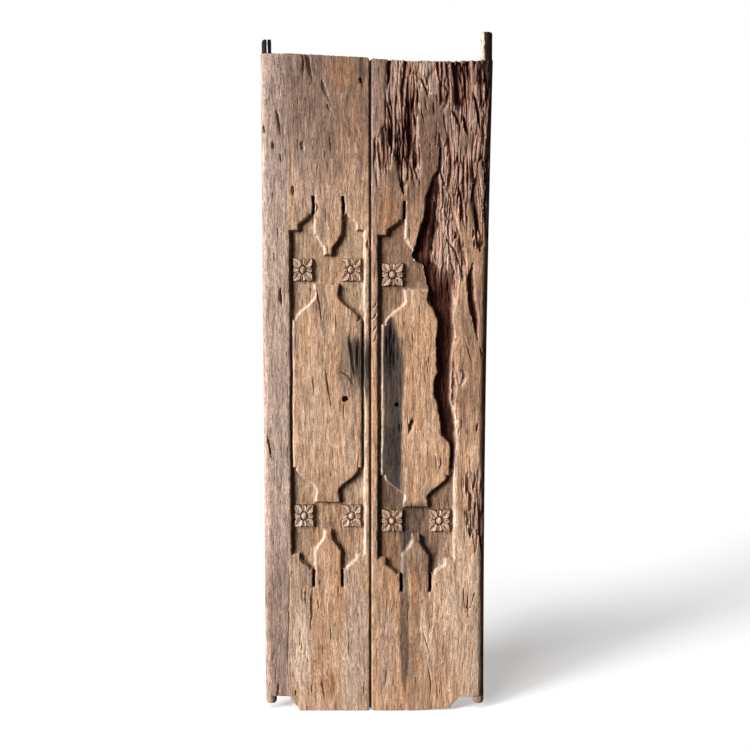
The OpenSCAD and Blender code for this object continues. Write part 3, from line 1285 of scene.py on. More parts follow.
    def build_plank(self) -> None:
        """Builds the plank as one closed skin."""
        u, z, flat = self.grid()
        seam, outer, foot, head = 4, EDGE_R + 2, 6, 8
        inner = (flat > seam) & (flat < self.width - outer) & (z > foot) & (z < self.outer_h - head)
        snapped_u, snapped_z = self.snap(u.copy(), z.copy())
        u, z = np.where(inner, snapped_u, u), np.where(inner, snapped_z, z)
        u, z = self.round_hole(u, z)
        front = self.to_model(u, FRONT + self.front(u, z, flat), z)
        slant = -self.side.value * self.splay * np.clip(1 - flat / self.SPLAY_REACH, 0, 1)
        back = self.to_model(u + slant, -FRONT - self.back(u, z, flat), z)
        points = np.concatenate([front.reshape(-1, 3), back.reshape(-1, 3)])
        all_cells = np.ones((u.shape[0] - 1, u.shape[1] - 1), bool)
        faces = slab_faces(all_cells, self.side is Side.LEFT)
        piece = self.piece("plank", points, faces)
        self.thin(piece)
        self.paint_plank(piece)

    def round_hole(self, u: Array, z: Array) -> tuple[Array, Array]:
        """Moves points near the pull hole onto its rim and onto a ring just inside it.

        Args:
            u: Places across.
            z: Places upwards.

        Returns:
            The moved places, across and upwards.
        """
        hu, hz, hr = self.hole
        away = np.maximum(np.hypot(u - hu, z - hz), TINY)
        # between which distances a point moves, and to which ring
        for low, high, ring in ((hr - 0.3, hr + 1.0, hr), (hr - 1.6, hr - 0.3, hr - 0.5)):
            close = (away > low) & (away <= high)
            u = np.where(close, hu + (u - hu) * ring / away, u)
            z = np.where(close, hz + (z - hz) * ring / away, z)
        return u, z

    def piece(self, part: str, points: Array, faces: Array) -> bpy.types.Object:
        """Adds one piece of this leaf to the scene.

        Args:
            part: What it is.
            points: Places in metres.
            faces: Four point numbers for each face; a triangle repeats its last.

        Returns:
            The piece.
        """
        name = f"{self.name}_{part}"
        thing = bpy.data.objects.new(name, wood_mesh(name, points, faces))
        bpy.context.collection.objects.link(thing)
        self.pieces.append(thing)
        return thing

    @staticmethod
    def thin(piece: bpy.types.Object) -> None:
        """Takes away the triangles that flat wood doesn't need.

        Args:
            piece: The piece, whose mesh is changed for a thinner one.
        """
        count = 2 * len(piece.data.polygons)
        if count > TRIANGLE_LIMIT:
            modifier = piece.modifiers.new("thin", "DECIMATE")
            modifier.ratio = TRIANGLE_LIMIT / count
            graph = bpy.context.evaluated_depsgraph_get()
            mesh = bpy.data.meshes.new_from_object(piece.evaluated_get(graph))
            piece.modifiers.clear()
            old, piece.data = piece.data, mesh
            bpy.data.meshes.remove(old)

    def paint(self, piece: bpy.types.Object, masks: dict[Mask, Array | float], crease: float = 50.0) -> None:
        """Gives a piece its masks, smooth shading and finish.

        Args:
            piece: The piece.
            masks: Strength of each mask, for all points or for each; those left out are 0.
            crease: Angle in degrees past which an edge is sharp.
        """
        mesh = piece.data
        for mask in Mask:
            values = np.broadcast_to(masks.get(mask, 0.0), len(mesh.vertices))
            layer = mesh.attributes.new(mask.value, "FLOAT", "POINT")
            layer.data.foreach_set("value", np.clip(values, 0, 1).astype(np.float32))
        mesh.shade_smooth()
        mesh.set_sharp_from_angle(angle=math.radians(crease))
        mesh.materials.clear()
        mesh.materials.append(self.look)

    def places(self, piece: bpy.types.Object) -> tuple[Array, Array, Array]:
        """Finds the points of a piece on the leaf, in millimetres.

        Args:
            piece: The piece.

        Returns:
            Places across, places in depth, and places upwards.
        """
        numbers = np.empty(3 * len(piece.data.vertices), np.float32)
        piece.data.vertices.foreach_get("co", numbers)
        x, y, z = numbers.reshape(-1, 3).T.astype(float) / MM
        return (x - self.seam_edge) * self.side.value, y, z

    def paint_plank(self, piece: bpy.types.Object) -> None:
        """Works out what each point of the plank has been through, and where highlight and shade are painted
        on it.

        Args:
            piece: The plank.
        """
        u, y, z = self.places(piece)
        on_front = y < np.where(u < self.width - self.OUTER_STRIP, DEEPEST_FRONT, 0.0)
        lost, gone = self.erosion(u, z)
        gap = self.sunk(u, z)
        wall = self.wall_width(z)
        shaded, lit = (light * (1 - gone) for light in self.wall_light(u, z))
        ragged = shaken(0.0, self.STAIN_RIPPLES, self.noises[3], u, z)
        # The dark mask holds dirt and painted shade in hollows, and painted shade at the foot of walls that
        # face away from the light and in the slots; the pale mask holds a painted highlight on walls that
        # face the light and on the crests of open fibres.
        masks = {
            Mask.GROUND: step(0.3, WALL_W + 0.4, gap) * (1 - gone),
            Mask.ERODED: step(0.5, 4, lost),
            Mask.DEEP: np.maximum(self.dirt(u, z, lost), self.painted_wall_shade(gap, shaded, wall)),
            Mask.PALE_AND_HIGHLIGHT: np.maximum(lit * self.painted_rim_highlight(gap, wall), self.crests(u, z, lost)),
        }
        masks = {mask: np.where(on_front, amount, 0) for mask, amount in masks.items()}
        masks[Mask.GREY] = self.greying(u, z, ragged)
        masks[Mask.BROWN] = self.browning(u, z, ragged)
        for blotch in self.BLOTCHES:
            spread = blotch.paint(u, z, ragged)
            if blotch.raised:
                spread = spread * step(1.0, -0.6, gap)
            masks[blotch.mask] = np.maximum(masks.get(blotch.mask, 0), np.where(on_front, spread, 0))
        self.paint(piece, masks)

    def wall_light(self, u: Array, z: Array) -> tuple[Array, Array]:
        """Tells which walls of the carving face away from the light and which face it, where shade and
        highlight are painted.

        Args:
            u: Places across.
            z: Places upwards.

        Returns:
            How far each nearby wall faces right and down, and how far it faces left and up.
        """
        reach = 0.4
        across, upwards = (slope / (2 * reach) for slope in self.sunk_slope(u, z, reach))
        right = self.side.value * across
        return np.clip(0.85 * right - 0.35 * upwards, 0, 1), np.clip(0.25 * upwards - 0.95 * right, 0, 1)

    def painted_wall_shade(self, gap: Array, shaded: Array, wall: Array) -> Array:
        """Gives the painted shade at the foot of walls that face away from the light, and in the slots."""
        # Painted shade: dark at the foot of walls that face away from the light, and in the narrow slots
        foot = 0.95 * shaded * step(14, 3.5, gap) * step(-0.4, 0.9, gap)
        return np.where(wall < WALL_W, 0.95 * step(0.5, 1.8, gap), foot)

    def crests(self, u: Array, z: Array, lost: Array) -> Array:
        """Gives the painted highlight on the crests of open fibres, of which a sound leaf has none."""
        return np.zeros(u.shape)

    def greying(self, u: Array, z: Array, ragged: Array) -> Array:
        """Gives how far the wood has greyed.

        Args:
            u: Places across.
            z: Places upwards.
            ragged: Unevenness of the edges, about 0.

        Returns:
            Strengths from 0 to 1.
        """
        head = step(1000, 1230, z + 90 * ragged) * step(30, 110, u + 14 * ragged)
        edge = step(self.width - 60, self.width - 46, u + 8 * ragged)
        return np.clip(0.75 * head + 0.85 * edge, 0, 0.9)

    def browning(self, u: Array, z: Array, ragged: Array) -> Array:
        """Gives how far the wood has darkened.

        Args:
            u: Places across.
            z: Places upwards.
            ragged: Unevenness of the edges, about 0.

        Returns:
            Strengths from 0 to 1.
        """
        head = step(1030, 1220, z + 60 * ragged) * step(205, 150, u)
        foot = step(self.width - 60, self.width - 46, u + 8 * ragged) * step(420, 250, z)
        return np.clip(0.72 * head + 0.48 * foot + 0.15 * ragged, 0, 0.8)

    def dirt(self, u: Array, z: Array, lost: Array) -> Array:
        """Gives the darkening of deep hollows: dirt, and painted shade."""
        return 0.8 * step(3.5, 8.5, lost)

    def painted_rim_highlight(self, gap: Array, wall: Array) -> Array:
        """Gives the band along the carving's edges that takes a painted highlight where a wall faces the
        light.
        """
        return 0.9 * step(-2.4, 0.2, gap) * step(0.8, -0.6, gap - wall)

    def build_rosettes(self) -> None:
        """Builds the rosettes that are left, as closed reliefs set in the ground."""
        points, faces = [], []
        start = 0
        for index, centre in enumerate(self.panel.rosette_centres()):
            places, quads = self.rosette_skin(centre, index)
            points.append(places)
            faces.append(quads + start)
            start += len(places)
        piece = self.piece("rosettes", np.concatenate(points), np.concatenate(faces))
        _, y, _ = self.places(piece)
        high = step(CARVE_DEPTH + FRONT, FRONT + 2.5, y)
        # The rosette's low places, between and around the petals, take painted shade.
        self.paint(piece, {
            Mask.GROUND: 0.9 * (1 - high),
            Mask.PALE_AND_HIGHLIGHT: 0.15 * high + 0.35 * step(FRONT + 3.2, FRONT + 1.6, y),
            Mask.DEEP: 0.7 * step(FRONT + 6.0, FRONT + 8.5, y),
            Mask.GREY: 0.38,
        }, 65.0)

    def rosette_skin(self, centre: Point, index: int) -> tuple[Array, Array]:
        """Builds the closed skin of one rosette.

        Args:
            centre: Its middle on the leaf.
            index: Its number on the leaf.

        Returns:
            Points and faces.
        """
        cell = self.ROSETTE_CELL * 1
        half_w, half_h = self.panel.rosette_w / 2, self.panel.rosette_h / 2
        reach_w, reach_h = half_w + self.MARGIN, half_h + self.MARGIN
        a, b = np.meshgrid(np.arange(-reach_w, reach_w, cell), np.arange(-reach_h, reach_h, cell))
        n = self.noises[index]
        x = (a + self.PETAL_ACROSS.swing(n, a, b)) / half_w
        y = (b + self.PETAL_ALONG.swing(n, a, b)) / half_h
        relief = self.rosette.relief(x, y) + self.TOOL_MARKS.swing(n, a, b)
        inside = relief > self.LEAST_RELIEF
        height = np.where(inside, relief, -self.SKIRT)
        keep = inside[:-1, :-1] | inside[1:, 1:] | inside[1:, :-1] | inside[:-1, 1:]
        ground = FRONT + CARVE_DEPTH
        u, z = centre[0] + a, centre[1] + b
        front = self.to_model(u, ground - height, z)
        rear = self.to_model(u, np.full(u.shape, ground + self.ROOT), z)
        points = np.concatenate([front.reshape(-1, 3), rear.reshape(-1, 3)])
        return points, slab_faces(keep, self.side is Side.LEFT)

    def stub(
        self, part: str, centre: float, radius: Array, heights: Array,
        ragged: float = 0.35, cut: Point | None = None,
    ) -> bpy.types.Object:
        """Builds a round stub of wood.

        Args:
            part: Name of the piece.
            centre: Distance of its axis from the seam edge.
            radius: Radius of each ring, from the foot up.
            heights: Height of each ring.
            ragged: How rough it is.
            cut: Lowest and highest place across that is left of it, or none where it is whole.

        Returns:
            The piece.
        """
        turn = np.linspace(0, 2 * np.pi, self.STUB_SIDES, endpoint=False)
        rings, angles = np.meshgrid(np.arange(len(heights)), turn, indexing="ij")
        n = self.noises[7]
        rough = 1 - ragged * n.at(angles * 3.2 / np.pi * 4, heights[rings] / 16) / 12
        r = radius[rings] * rough
        u = centre + self.side.value * r * np.cos(angles)
        y = r * np.sin(angles)
        z = heights[rings]
        if cut is not None:
            fray = self.FRAY.swing(n, y, z)
            u = np.clip(u, cut[0] + fray, cut[1] + fray)
        top = slice(-3, None)
        z[top] += self.STUB_END.swing(n, u[top], y[top]) * (radius[rings][top] / radius.max())
        points = self.to_model(u, y, z).reshape(-1, 3)
        ends = np.stack([points[:self.STUB_SIDES].mean(axis=0), points[-self.STUB_SIDES:].mean(axis=0)])
        return self.piece(part, np.concatenate([points, ends]), stacked_faces(len(heights), self.STUB_SIDES))

    def build_foot_pivot(self) -> None:
        """Builds the worn pivot beside the foot notch."""
        foot = self.notch_h - self.foot_pivot_l
        heights = foot + np.array([0, 0.4, 1.4, 3.0, 5.2, 8, 12, 16, 20, 24, 30])
        r = self.foot_pivot_r
        radius = np.array([0.45, 0.62, 0.78, 0.90, 0.97, 1, 1, 1, 1, 1, 1]) * r
        piece = self.stub("foot_pivot", self.width - self.taper - r, radius, heights)
        _, _, z = self.places(piece)
        self.paint(piece, {Mask.GREY: 0.5, Mask.BROWN: 0.35, Mask.PALE_AND_HIGHLIGHT: 0.1 * step(foot + 12, foot + 2, z)})

    def build_head_pivots(self) -> None:
        """Builds what is left of the head pivot."""
        raise NotImplementedError

    def build(self) -> None:
        """Builds all the pieces and ties them to the CAD node."""
        self.look = self.finish.material()
        self.build_plank()
        self.build_rosettes()
        self.build_foot_pivot()
        self.build_head_pivots()
        for piece in self.pieces:
            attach(piece, BODY)
            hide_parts(self.name)
            log.info("%s: %d faces", piece.name, len(piece.data.polygons))


@dataclass
class LeftLeaf(Leaf):
    """The leaf with the broken head pivot."""

    side: Side = Side.LEFT
    seam_edge: float = -15.5
    width: float = 218.0
    outer_h: float = 1355.0
    seam_rise: float = -8.0
    taper: float = 0.0
    bow: float = 0.0
    head_dip: float = 0.0
    head_lift: float = 1.0
    head_wear: float = 0.5
    foot_wear: Point = (0.0, 0.0)
    hole: tuple[float, float, float] = (50.0, 660.0, 6.5)
    panel: Panel = Panel(155.0, 8.5, 334.0, 41.0, ((-1, 1), (1, 1), (-1, -1), (1, -1)), head_shift=-3.0)
    finish: TeakFinish = TEAK
    seed: int = 11

    # Each groove's path from head to foot, its width and depth, and whether it runs out at the head
    GROOVES: ClassVar[tuple[Groove, ...]] = tuple(Groove(*row) for row in (
        (((133, 1360), (131, 1330), (131, 1308)), 4.0, 7, True),
        (((123, 1360), (116, 1320), (111, 1298)), 10.0, 7, True),
        (((92, 1304), (86, 1282), (79, 1264)), 9.0, 5.5),
        (((83, 1256), (76, 1241)), 6.0, 4),
        (((185, 1244), (180, 1222), (177, 1193)), 6.5, 6),
        (((212, 1214), (208, 1196)), 7.5, 7),
        (((193, 1181), (192, 1164)), 5.0, 6),
        (((178, 1158), (176, 1140)), 3.5, 5),
        (((133, 1183), (130, 1160)), 9.0, 4.5),
        (((154, 1094), (153, 1073)), 7.0, 6),
        (((180, 888), (180, 866), (178, 850)), 7.0, 8),
        (((105, 1060), (104, 1040)), 3.4, 5),
        (((108, 889), (103, 868), (99, 840), (98, 822)), 3.4, 6),
        (((89, 722), (84, 690), (78, 644)), 3.0, 5),
        (((2, 984), (-1, 964)), 8.0, 5),
        (((17, 1310), (12, 1294)), 8.0, 8),
        (((208, 584), (204, 558), (200, 536)), 5.0, 9),
        (((40, 790), (33, 745), (30, 706)), 9.0, 5),
        (((24, 775), (22, 720)), 5.0, 4),
        (((64, 718), (52, 713), (43, 708), (37, 694), (25, 684)), 2.4, 4),
        (((166, 330), (167, 250), (168, 174), (170, 40)), 2.6, 2.0),
        (((121, 256), (120, 205), (123, 165)), 4.2, 6),
        (((133, 258), (132, 226)), 3.6, 5),
        (((140, 262), (140, 232)), 3.0, 3),
        (((100, 70), (94, 24)), 4.0, 5),
        (((190, 60), (191, 24)), 5.0, 5),
        (((154, 46), (152, 30)), 4.0, 4),
        (((120, 56), (119, 40)), 4.0, 4),
    ))
    BLOTCHES: ClassVar[tuple[Blotch | Patch, ...]] = (
        Patch(
            Mask.STAIN,
            ((13, 700), (12, 768), (28, 792), (43, 772), (37, 738), (41, 714), (31, 690), (18, 682)),
            9, 0.9,
        ),
        Blotch(Mask.STAIN, 38, 738, 26, 66, 0.45),
        Blotch(Mask.CHAR, 22, 748, 8, 36, 0.4),
        Blotch(Mask.STAIN, 5, 730, 8, 70, 0.7),
        Blotch(Mask.CHAR, 3, 738, 6, 34, 0.75),
        Blotch(Mask.STAIN, 14, 1322, 7, 34, 0.6),
        Blotch(Mask.RUST, 85, 58, 17, 34, 0.55),
        Blotch(Mask.RUST, 60, 1330, 26, 40, 0.25),
        Blotch(Mask.RUST, 62, 280, 12, 120, 0.4),
        Blotch(Mask.RUST, 104, 180, 14, 150, 0.22),
        Blotch(Mask.PALE_AND_HIGHLIGHT, 140, 150, 22, 110, 0.34),
        Blotch(Mask.PALE_AND_HIGHLIGHT, 120, 640, 20, 90, 0.2),
        Blotch(Mask.GREY, 30, 170, 26, 170, 0.5),
        Blotch(Mask.BROWN, 128, 262, 22, 60, 0.3),
        Blotch(Mask.RUST, 86, 400, 70, 66, 0.35),
        Blotch(Mask.RUST, 80, 930, 60, 46, 0.2),
        Blotch(Mask.RUST, 36, 1070, 26, 1.5, 0.6),
    )

    def build_head_pivots(self) -> None:
        """Builds the two charred prongs of the split pivot."""
        axis = self.pivot_axis
        heights = self.outer_h + np.array([-8, -4, 0, 4, 8, 12, 16, 20, 24, 27, 29])
        radius = np.array([1, 1, 1, 1, 0.99, 0.98, 0.97, 0.95, 0.92, 0.84, 0.7]) * self.pivot_r
        prongs = {"outer_prong": (axis + 2.6, axis + 12), "inner_prong": (axis - 6.6, axis - 0.8)}
        for part, cut in prongs.items():
            piece = self.stub(part, axis, radius, heights, 0.9, cut)
            self.paint(piece, {Mask.CHAR: 0.97})


@dataclass
class RightLeaf(Leaf):
    """The leaf that weather has eaten, with its whole head pivot."""

    side: Side = Side.RIGHT
    seam_edge: float = -10.5
    width: float = 244.0
    outer_h: float = 1342.0
    seam_rise: float = 1.5
    taper: float = 8.0
    bow: float = 4.7
    head_dip: float = 4.0
    head_lift: float = 3.0
    head_wear: float = 0.8
    edge_round: Point = (17.0, 16.5)
    foot_wear: Point = (6.0, 75.0)
    hole: tuple[float, float, float] = (51.0, 648.0, 5.0)
    panel: Panel = Panel(
        161.0, 11.0, 324.0, 45.0, ((-1, 1), (-1, -1), (1, -1)), head_shift=5.0, low_shoulder=66.0
    )
    finish: TeakFinish = WEATHERED_TEAK
    seed: int = 29

    # Each groove's path from head to foot, its width and depth, and whether it runs out at the head
    GROOVES: ClassVar[tuple[Groove, ...]] = tuple(Groove(*row) for row in (
        (((34, 1352), (32, 1316), (32, 1285)), 11.0, 13, True),
        (((32, 1264), (32, 1245), (39, 1219), (43, 1186)), 7.5, 11),
        (((68, 1352), (63, 1309), (59, 1282), (61, 1262), (71, 1236)), 12.0, 10, True),
        (((97, 1311), (106, 1289), (114, 1268)), 7.0, 8),
        (((107, 1270), (111, 1240)), 4.0, 5),
        (((122, 1264), (126, 1228)), 4.5, 6),
        (((100, 1248), (104, 1216)), 3.5, 5),
        (((118, 1164), (117, 1140)), 3.5, 4),
        (((128, 1194), (127, 1170)), 3.0, 4),
        (((192, 264), (190, 240), (193, 222)), 3.5, 5),
        (((189, 223), (200, 221), (213, 226)), 2.4, 3),
        (((192, 214), (206, 213)), 2.2, 2.5),
        (((128, 1352), (133, 1316), (136, 1300)), 9.0, 9, True),
        (((142, 1298), (151, 1282), (149, 1259), (142, 1240)), 10.5, 9),
        (((130, 1274), (131, 1256)), 4.5, 7),
        (((161, 1244), (170, 1228), (174, 1210)), 9.0, 10),
        (((182, 1236), (187, 1211), (194, 1188)), 10.5, 11),
        (((203, 1284), (209, 1250), (215, 1221), (220, 1196)), 8.5, 12),
        (((226, 1352), (225, 1309), (224, 1284)), 11.0, 12, True),
        (((232, 1292), (230, 1267), (232, 1240)), 9.0, 9),
        (((26, 1203), (23, 1183)), 4.5, 6),
        (((13, 1188), (14, 1165), (20, 1112)), 11.0, 7),
        (((51, 1213), (52, 1177), (59, 1140), (60, 1102)), 6.0, 10),
        (((89, 1203), (84, 1173), (84, 1130), (92, 1106), (97, 1098)), 8.0, 11),
        (((74, 1150), (82, 1113), (87, 1090)), 7.0, 9),
        (((141, 1182), (137, 1160), (136, 1128), (143, 1104), (153, 1086)), 9.0, 12),
        (((153, 1088), (159, 1066), (162, 1041), (170, 1027)), 6.0, 9),
        (((154, 1162), (152, 1149)), 5.0, 7),
        (((155, 1070), (153, 1044), (154, 1026)), 5.0, 11),
        (((173, 1096), (180, 1068), (181, 1044), (188, 1012)), 9.0, 11),
        (((212, 1116), (204, 1087), (199, 1056)), 11.0, 13),
        (((227, 1122), (228, 1094)), 9.0, 11),
        (((207, 1058), (211, 1034), (215, 1010), (223, 986)), 9.5, 11),
        (((230, 1086), (227, 1061), (230, 1006)), 10.0, 9),
        (((170, 1002), (168, 984)), 9.0, 13),
        (((204, 1006), (205, 988)), 5.5, 8),
        (((207, 986), (207, 968)), 5.5, 8),
        (((150, 1004), (154, 982), (166, 964), (177, 940), (185, 905)), 7.0, 12),
        (((130, 988), (131, 947), (125, 923), (122, 886)), 9.0, 17),
        (((204, 936), (198, 906), (199, 866), (204, 840), (209, 819), (216, 782)), 16.0, 14),
        (((114, 935), (119, 909), (127, 886)), 6.0, 14),
        (((144, 944), (154, 919), (158, 890)), 6.0, 14),
        (((194, 771), (197, 754), (206, 732)), 3.0, 5),
        (((182, 720), (190, 708), (182, 688)), 9.0, 5),
        (((187, 716), (184, 696)), 4.0, 7),
        (((222, 768), (226, 745)), 3.0, 5),
        (((84, 620), (77, 604), (75, 588)), 11.0, 8),
        (((216, 609), (215, 590)), 4.0, 8),
        (((199, 505), (199, 471), (205, 453), (208, 420)), 6.5, 7),
        (((219, 500), (215, 475), (217, 450)), 5.5, 6),
        (((196, 432), (198, 383)), 5.5, 6),
        (((214, 448), (212, 417), (214, 383)), 5.0, 6),
        (((140, 540), (142, 525), (139, 508)), 3.0, 5),
        (((57, 610), (57, 590)), 3.4, 6),
        (((200, 250), (198, 222), (200, 206)), 4.5, 6),
        (((213, 254), (209, 228)), 3.0, 4),
        (((40, 820), (38, 775), (41, 735)), 4.0, 4),
        (((29, 790), (30, 745)), 6.0, 5),
        (((64, 868), (62, 840)), 3.0, 5),
        (((10, 858), (5, 850), (-1, 843)), 3.2, 4),
        (((10, 838), (5, 829), (-1, 821)), 3.2, 4),
        (((10, 812), (5, 804), (-1, 796)), 3.0, 3.5),
        (((10, 790), (5, 782), (-1, 774)), 3.0, 3.5),
        (((117, 96), (124, 60), (122, 24)), 3.4, 4),
        (((108, 168), (122, 120)), 3.0, 3),
    ))
    BLOTCHES: ClassVar[tuple[Blotch | Patch, ...]] = (
        Patch(
            Mask.STAIN,
            ((20, 470), (22, 815), (34, 834), (44, 826), (58, 781), (63, 740), (61, 658), (60, 560),
             (62, 480), (66, 436), (46, 452)),
            4, 0.92, True,
        ),
        Patch(
            Mask.STAIN,
            ((60, 446), (116, 446), (112, 405), (102, 372), (122, 350), (124, 300), (116, 262), (108, 330),
             (98, 350), (84, 360), (62, 336), (60, 400)),
            7, 0.62,
        ),
        Blotch(Mask.CHAR, 33, 762, 13, 58, 0.6),
        Blotch(Mask.CHAR, 233, 1312, 7, 42, 0.85),
        Blotch(Mask.PALE_AND_HIGHLIGHT, 186, 700, 8, 18, 0.5),
        Blotch(Mask.PALE_AND_HIGHLIGHT, 190, 230, 56, 230, 0.25),
        Blotch(Mask.STAIN, 68, 190, 10, 190, 0.7),
        Blotch(Mask.STAIN, 90, 330, 26, 70, 0.35),
        Blotch(Mask.BROWN, 86, 150, 22, 150, 0.5),
        Blotch(Mask.STAIN, 40, 470, 26, 40, 0.35),
        Blotch(Mask.RUST, 88, 282, 7, 62, 0.5),
        Blotch(Mask.PALE_AND_HIGHLIGHT, 107, 190, 6, 70, 0.5),
        Blotch(Mask.PALE_AND_HIGHLIGHT, 122, 120, 8, 60, 0.35),
        Blotch(Mask.BROWN, 140, 90, 16, 90, 0.3),
        Blotch(Mask.GREY, 30, 130, 22, 120, 0.35),
        Blotch(Mask.RUST, 30, 300, 18, 80, 0.22),
        Blotch(Mask.RUST, 40, 1030, 26, 44, 0.3),
        Blotch(Mask.BROWN, 116, 1190, 26, 90, 0.9),
        Blotch(Mask.RUST, 180, 110, 40, 70, 0.2),
        Blotch(Mask.RUST, 201, 226, 12, 6, 0.35),
    )

    # The edges of the long valley and ravine, and the ridge along its lip
    VALLEY_LEFT = (
        (158, 500), (160, 507), (161, 543), (159, 568), (154, 574), (144, 586), (140, 615), (136, 642),
        (126, 670), (127, 692), (133, 716), (132, 731), (131, 748), (131, 784), (133, 801), (133, 819),
        (130, 833), (116, 864), (112, 900), (107, 919), (104, 933), (90, 941), (82, 951), (81, 957),
        (89, 978), (96, 1001), (103, 1027), (107, 1044), (107, 1065), (115, 1087), (122, 1110), (132, 1125),
        (136, 1150), (139, 1172),
    )
    VALLEY_RIGHT = (
        (171, 500), (174, 543), (176, 579), (175, 615), (174, 651), (178, 677), (176, 713), (174, 748),
        (176, 784), (171, 819), (175, 854), (180, 889), (186, 915), (190, 940), (181, 975), (172, 1010),
        (164, 1045), (158, 1070), (150, 1100), (146, 1130), (143, 1160), (141, 1172),
    )
    RIDGE = ((174, 502), (175, 575), (173, 617), (163, 658), (164, 720), (166, 761), (174, 802), (165, 883))
    # Where the fibres lie open: outline, least depth, and depth between the fibres
    OPEN_FIBRES = (
        (((25, 1352), (86, 1352), (95, 1270), (84, 1216), (99, 1180), (99, 1104), (60, 1092), (50, 1150),
          (31, 1225), (26, 1280)), 2.6, 14.5),
        (((80, 1352), (142, 1352), (136, 1296), (118, 1284), (97, 1296), (84, 1270)), 2.0, 11.0),
        (((132, 1352), (244, 1352), (246, 1190), (240, 1080), (234, 980), (217, 982), (205, 1040),
          (197, 1075), (192, 1012), (174, 1030), (150, 1085), (137, 1130), (134, 1176), (152, 1205),
          (139, 1250)), 1.6, 10.5),
        (((4, 1200), (30, 1205), (38, 1160), (26, 1112), (14, 1112), (5, 1150)), 1.5, 8.0),
        (((190, 512), (232, 512), (230, 350), (198, 356)), 0.2, 6.5),
        (((148, 1085), (170, 1030), (176, 985), (192, 940), (200, 900), (182, 880), (160, 905),
          (150, 990)), 1.5, 13.0),
    )
    # Sounder wood that stands between the open fibres
    ISLANDS = (
        ((86, 1240), (98, 1262), (118, 1256), (134, 1246), (138, 1228), (131, 1205), (133, 1140), (100, 1108),
         (99, 1150), (101, 1182), (89, 1218)),
        ((168, 1204), (191, 1198), (203, 1172), (182, 1164)),
    )

    # The valley: its bed as depths and heights, and the ribs that fan out from its head
    BED = ((5, 500), (13, 560), (18, 640), (20, 860), (19, 950), (16, 1050), (12, 1120), (5, 1175))
    VALLEY_FOOT = (496, 520)
    VALLEY_HEAD = (1180, 1140)
    RAVINE_HEAD = (940, 880)
    DEEPEST = 24
    LEAST_W = 3
    CLIFF_RIPPLE = Ripple(1.6, 8, 13)
    CLIFF_FRAY = Ripple(0.8, 3, 5)
    FAN_U = 143
    FAN_HEAD = 1165
    FAN_LENGTH = 250
    RIB_DEPTH = 17.0
    RIB_MIDDLE = 0.42
    RIB_LEAN = Ripple(5, 26, 90)
    BROAD_RIBS = Ripple(0.46, 9.5, 170)
    SMALL_RIBS = Ripple(0.34, 4.0, 75)
    FINE_RIBS = Ripple(0.20, 3.0, 28)
    RIDGE_RIPPLE = Ripple(0.9, 9, 1)
    RIDGE_W = 3.4
    RIDGE_FOOT = (490, 530)
    RIDGE_HEAD = (905, 860)

    # The open fibres, and the ragged edge of the wood that has them
    LEAN = Ripple(7, 42, 115)
    SMALL_LEAN = Ripple(2, 15, 60)
    COARSE_FIBRES = Ripple(0.36, 12.0, 130)
    MIDDLE_FIBRES = Ripple(0.36, 5.2, 56)
    FINE_FIBRES = Ripple(0.28, 3.5, 40)
    FIBRE_PATCHES = Ripple(1.0, 26, 110, 80)
    FEATHER = (Ripple(6.5, 5.5, 62), Ripple(2.5, 2.3, 22, 70))
    FINGERS = (Ripple(34, 6.5, 300, 11), Ripple(14, 3, 150, 50))
    FINGER_LIMITS = (-40, 16)
    ISLAND_EDGE = (-13, 8)
    ISLAND_SPARES = 0.86
    OPEN_EDGE = (-2.5, 3.5)
    FIBRE_GAIN = 1.75
    FIBRE_START = 0.18
    FIBRE_LIMIT = 1.3
    FIBRE_POWER = 1.3
    SHALLOW_HEAD = 0.42

    EDGE_RIPPLE = Ripple(2, 6, 40)
    BURN_RIPPLE = Ripple(1.4, 9, 1)
    BURNT_CHECKS = 14

    def ribs(self, u: Array, z: Array, wavering: Array) -> Array:
        """Gives the ribs that fan out from the valley's head: 0 on their crests and about 1 between them.

        Args:
            u: Places across.
            z: Places upwards.
            wavering: Places across, moved as the cliff wavers.

        Returns:
            How deep each place lies between the ribs.
        """
        fan = 1 + np.clip((self.FAN_HEAD - z) / self.FAN_LENGTH, 0, 1)
        spread = (wavering - self.FAN_U) / fan + self.RIB_LEAN.swing(self.noises[10], u, z)
        broad = self.BROAD_RIBS.crests(self.noises[7], spread, z)
        small = self.SMALL_RIBS.crests(self.noises[8], spread, z)
        fine = self.FINE_RIBS.crests(self.noises[9], wavering, z)
        hollow = self.BROAD_RIBS.strength * (1 - broad) + self.SMALL_RIBS.strength * small ** 2.5
        return hollow + self.FINE_RIBS.strength * fine ** 2

    def valley(self, u: Array, z: Array) -> tuple[Array, Array, Array]:
        """Gives the long valley and the ravine below it.

        Args:
            u: Places across.
            z: Places upwards.

        Returns:
            Depths, how far inside the valley each place lies, and the darkening there: dirt, and painted
            shade.
        """
        wavering = u + self.CLIFF_RIPPLE.swing(self.noises[10], u, z)
        wavering = wavering + self.CLIFF_FRAY.swing(self.noises[9], u, z)
        left, right = at_height(self.VALLEY_LEFT, z), at_height(self.VALLEY_RIGHT, z)
        t = np.clip((wavering - left) / np.maximum(right - left, self.LEAST_W), 0, 1)
        within = step(*self.VALLEY_FOOT, z) * step(*self.VALLEY_HEAD, z)
        ravine = step(*self.RAVINE_HEAD, z)
        slope = ravine * step(1.0, 0.66, t) + (1 - ravine) * (0.28 + 0.72 * step(0.80, 0.26, t))
        cliff = step(-0.4, 2.8, wavering - left)
        inside = within * cliff * step(right + 5, right - 1, wavering)
        between = self.ribs(u, z, wavering)
        ribbed = self.RIB_DEPTH * (between - self.RIB_MIDDLE) * inside * (1 - 0.35 * ravine)
        depth = at_height(self.BED, z) * slope * cliff + ribbed
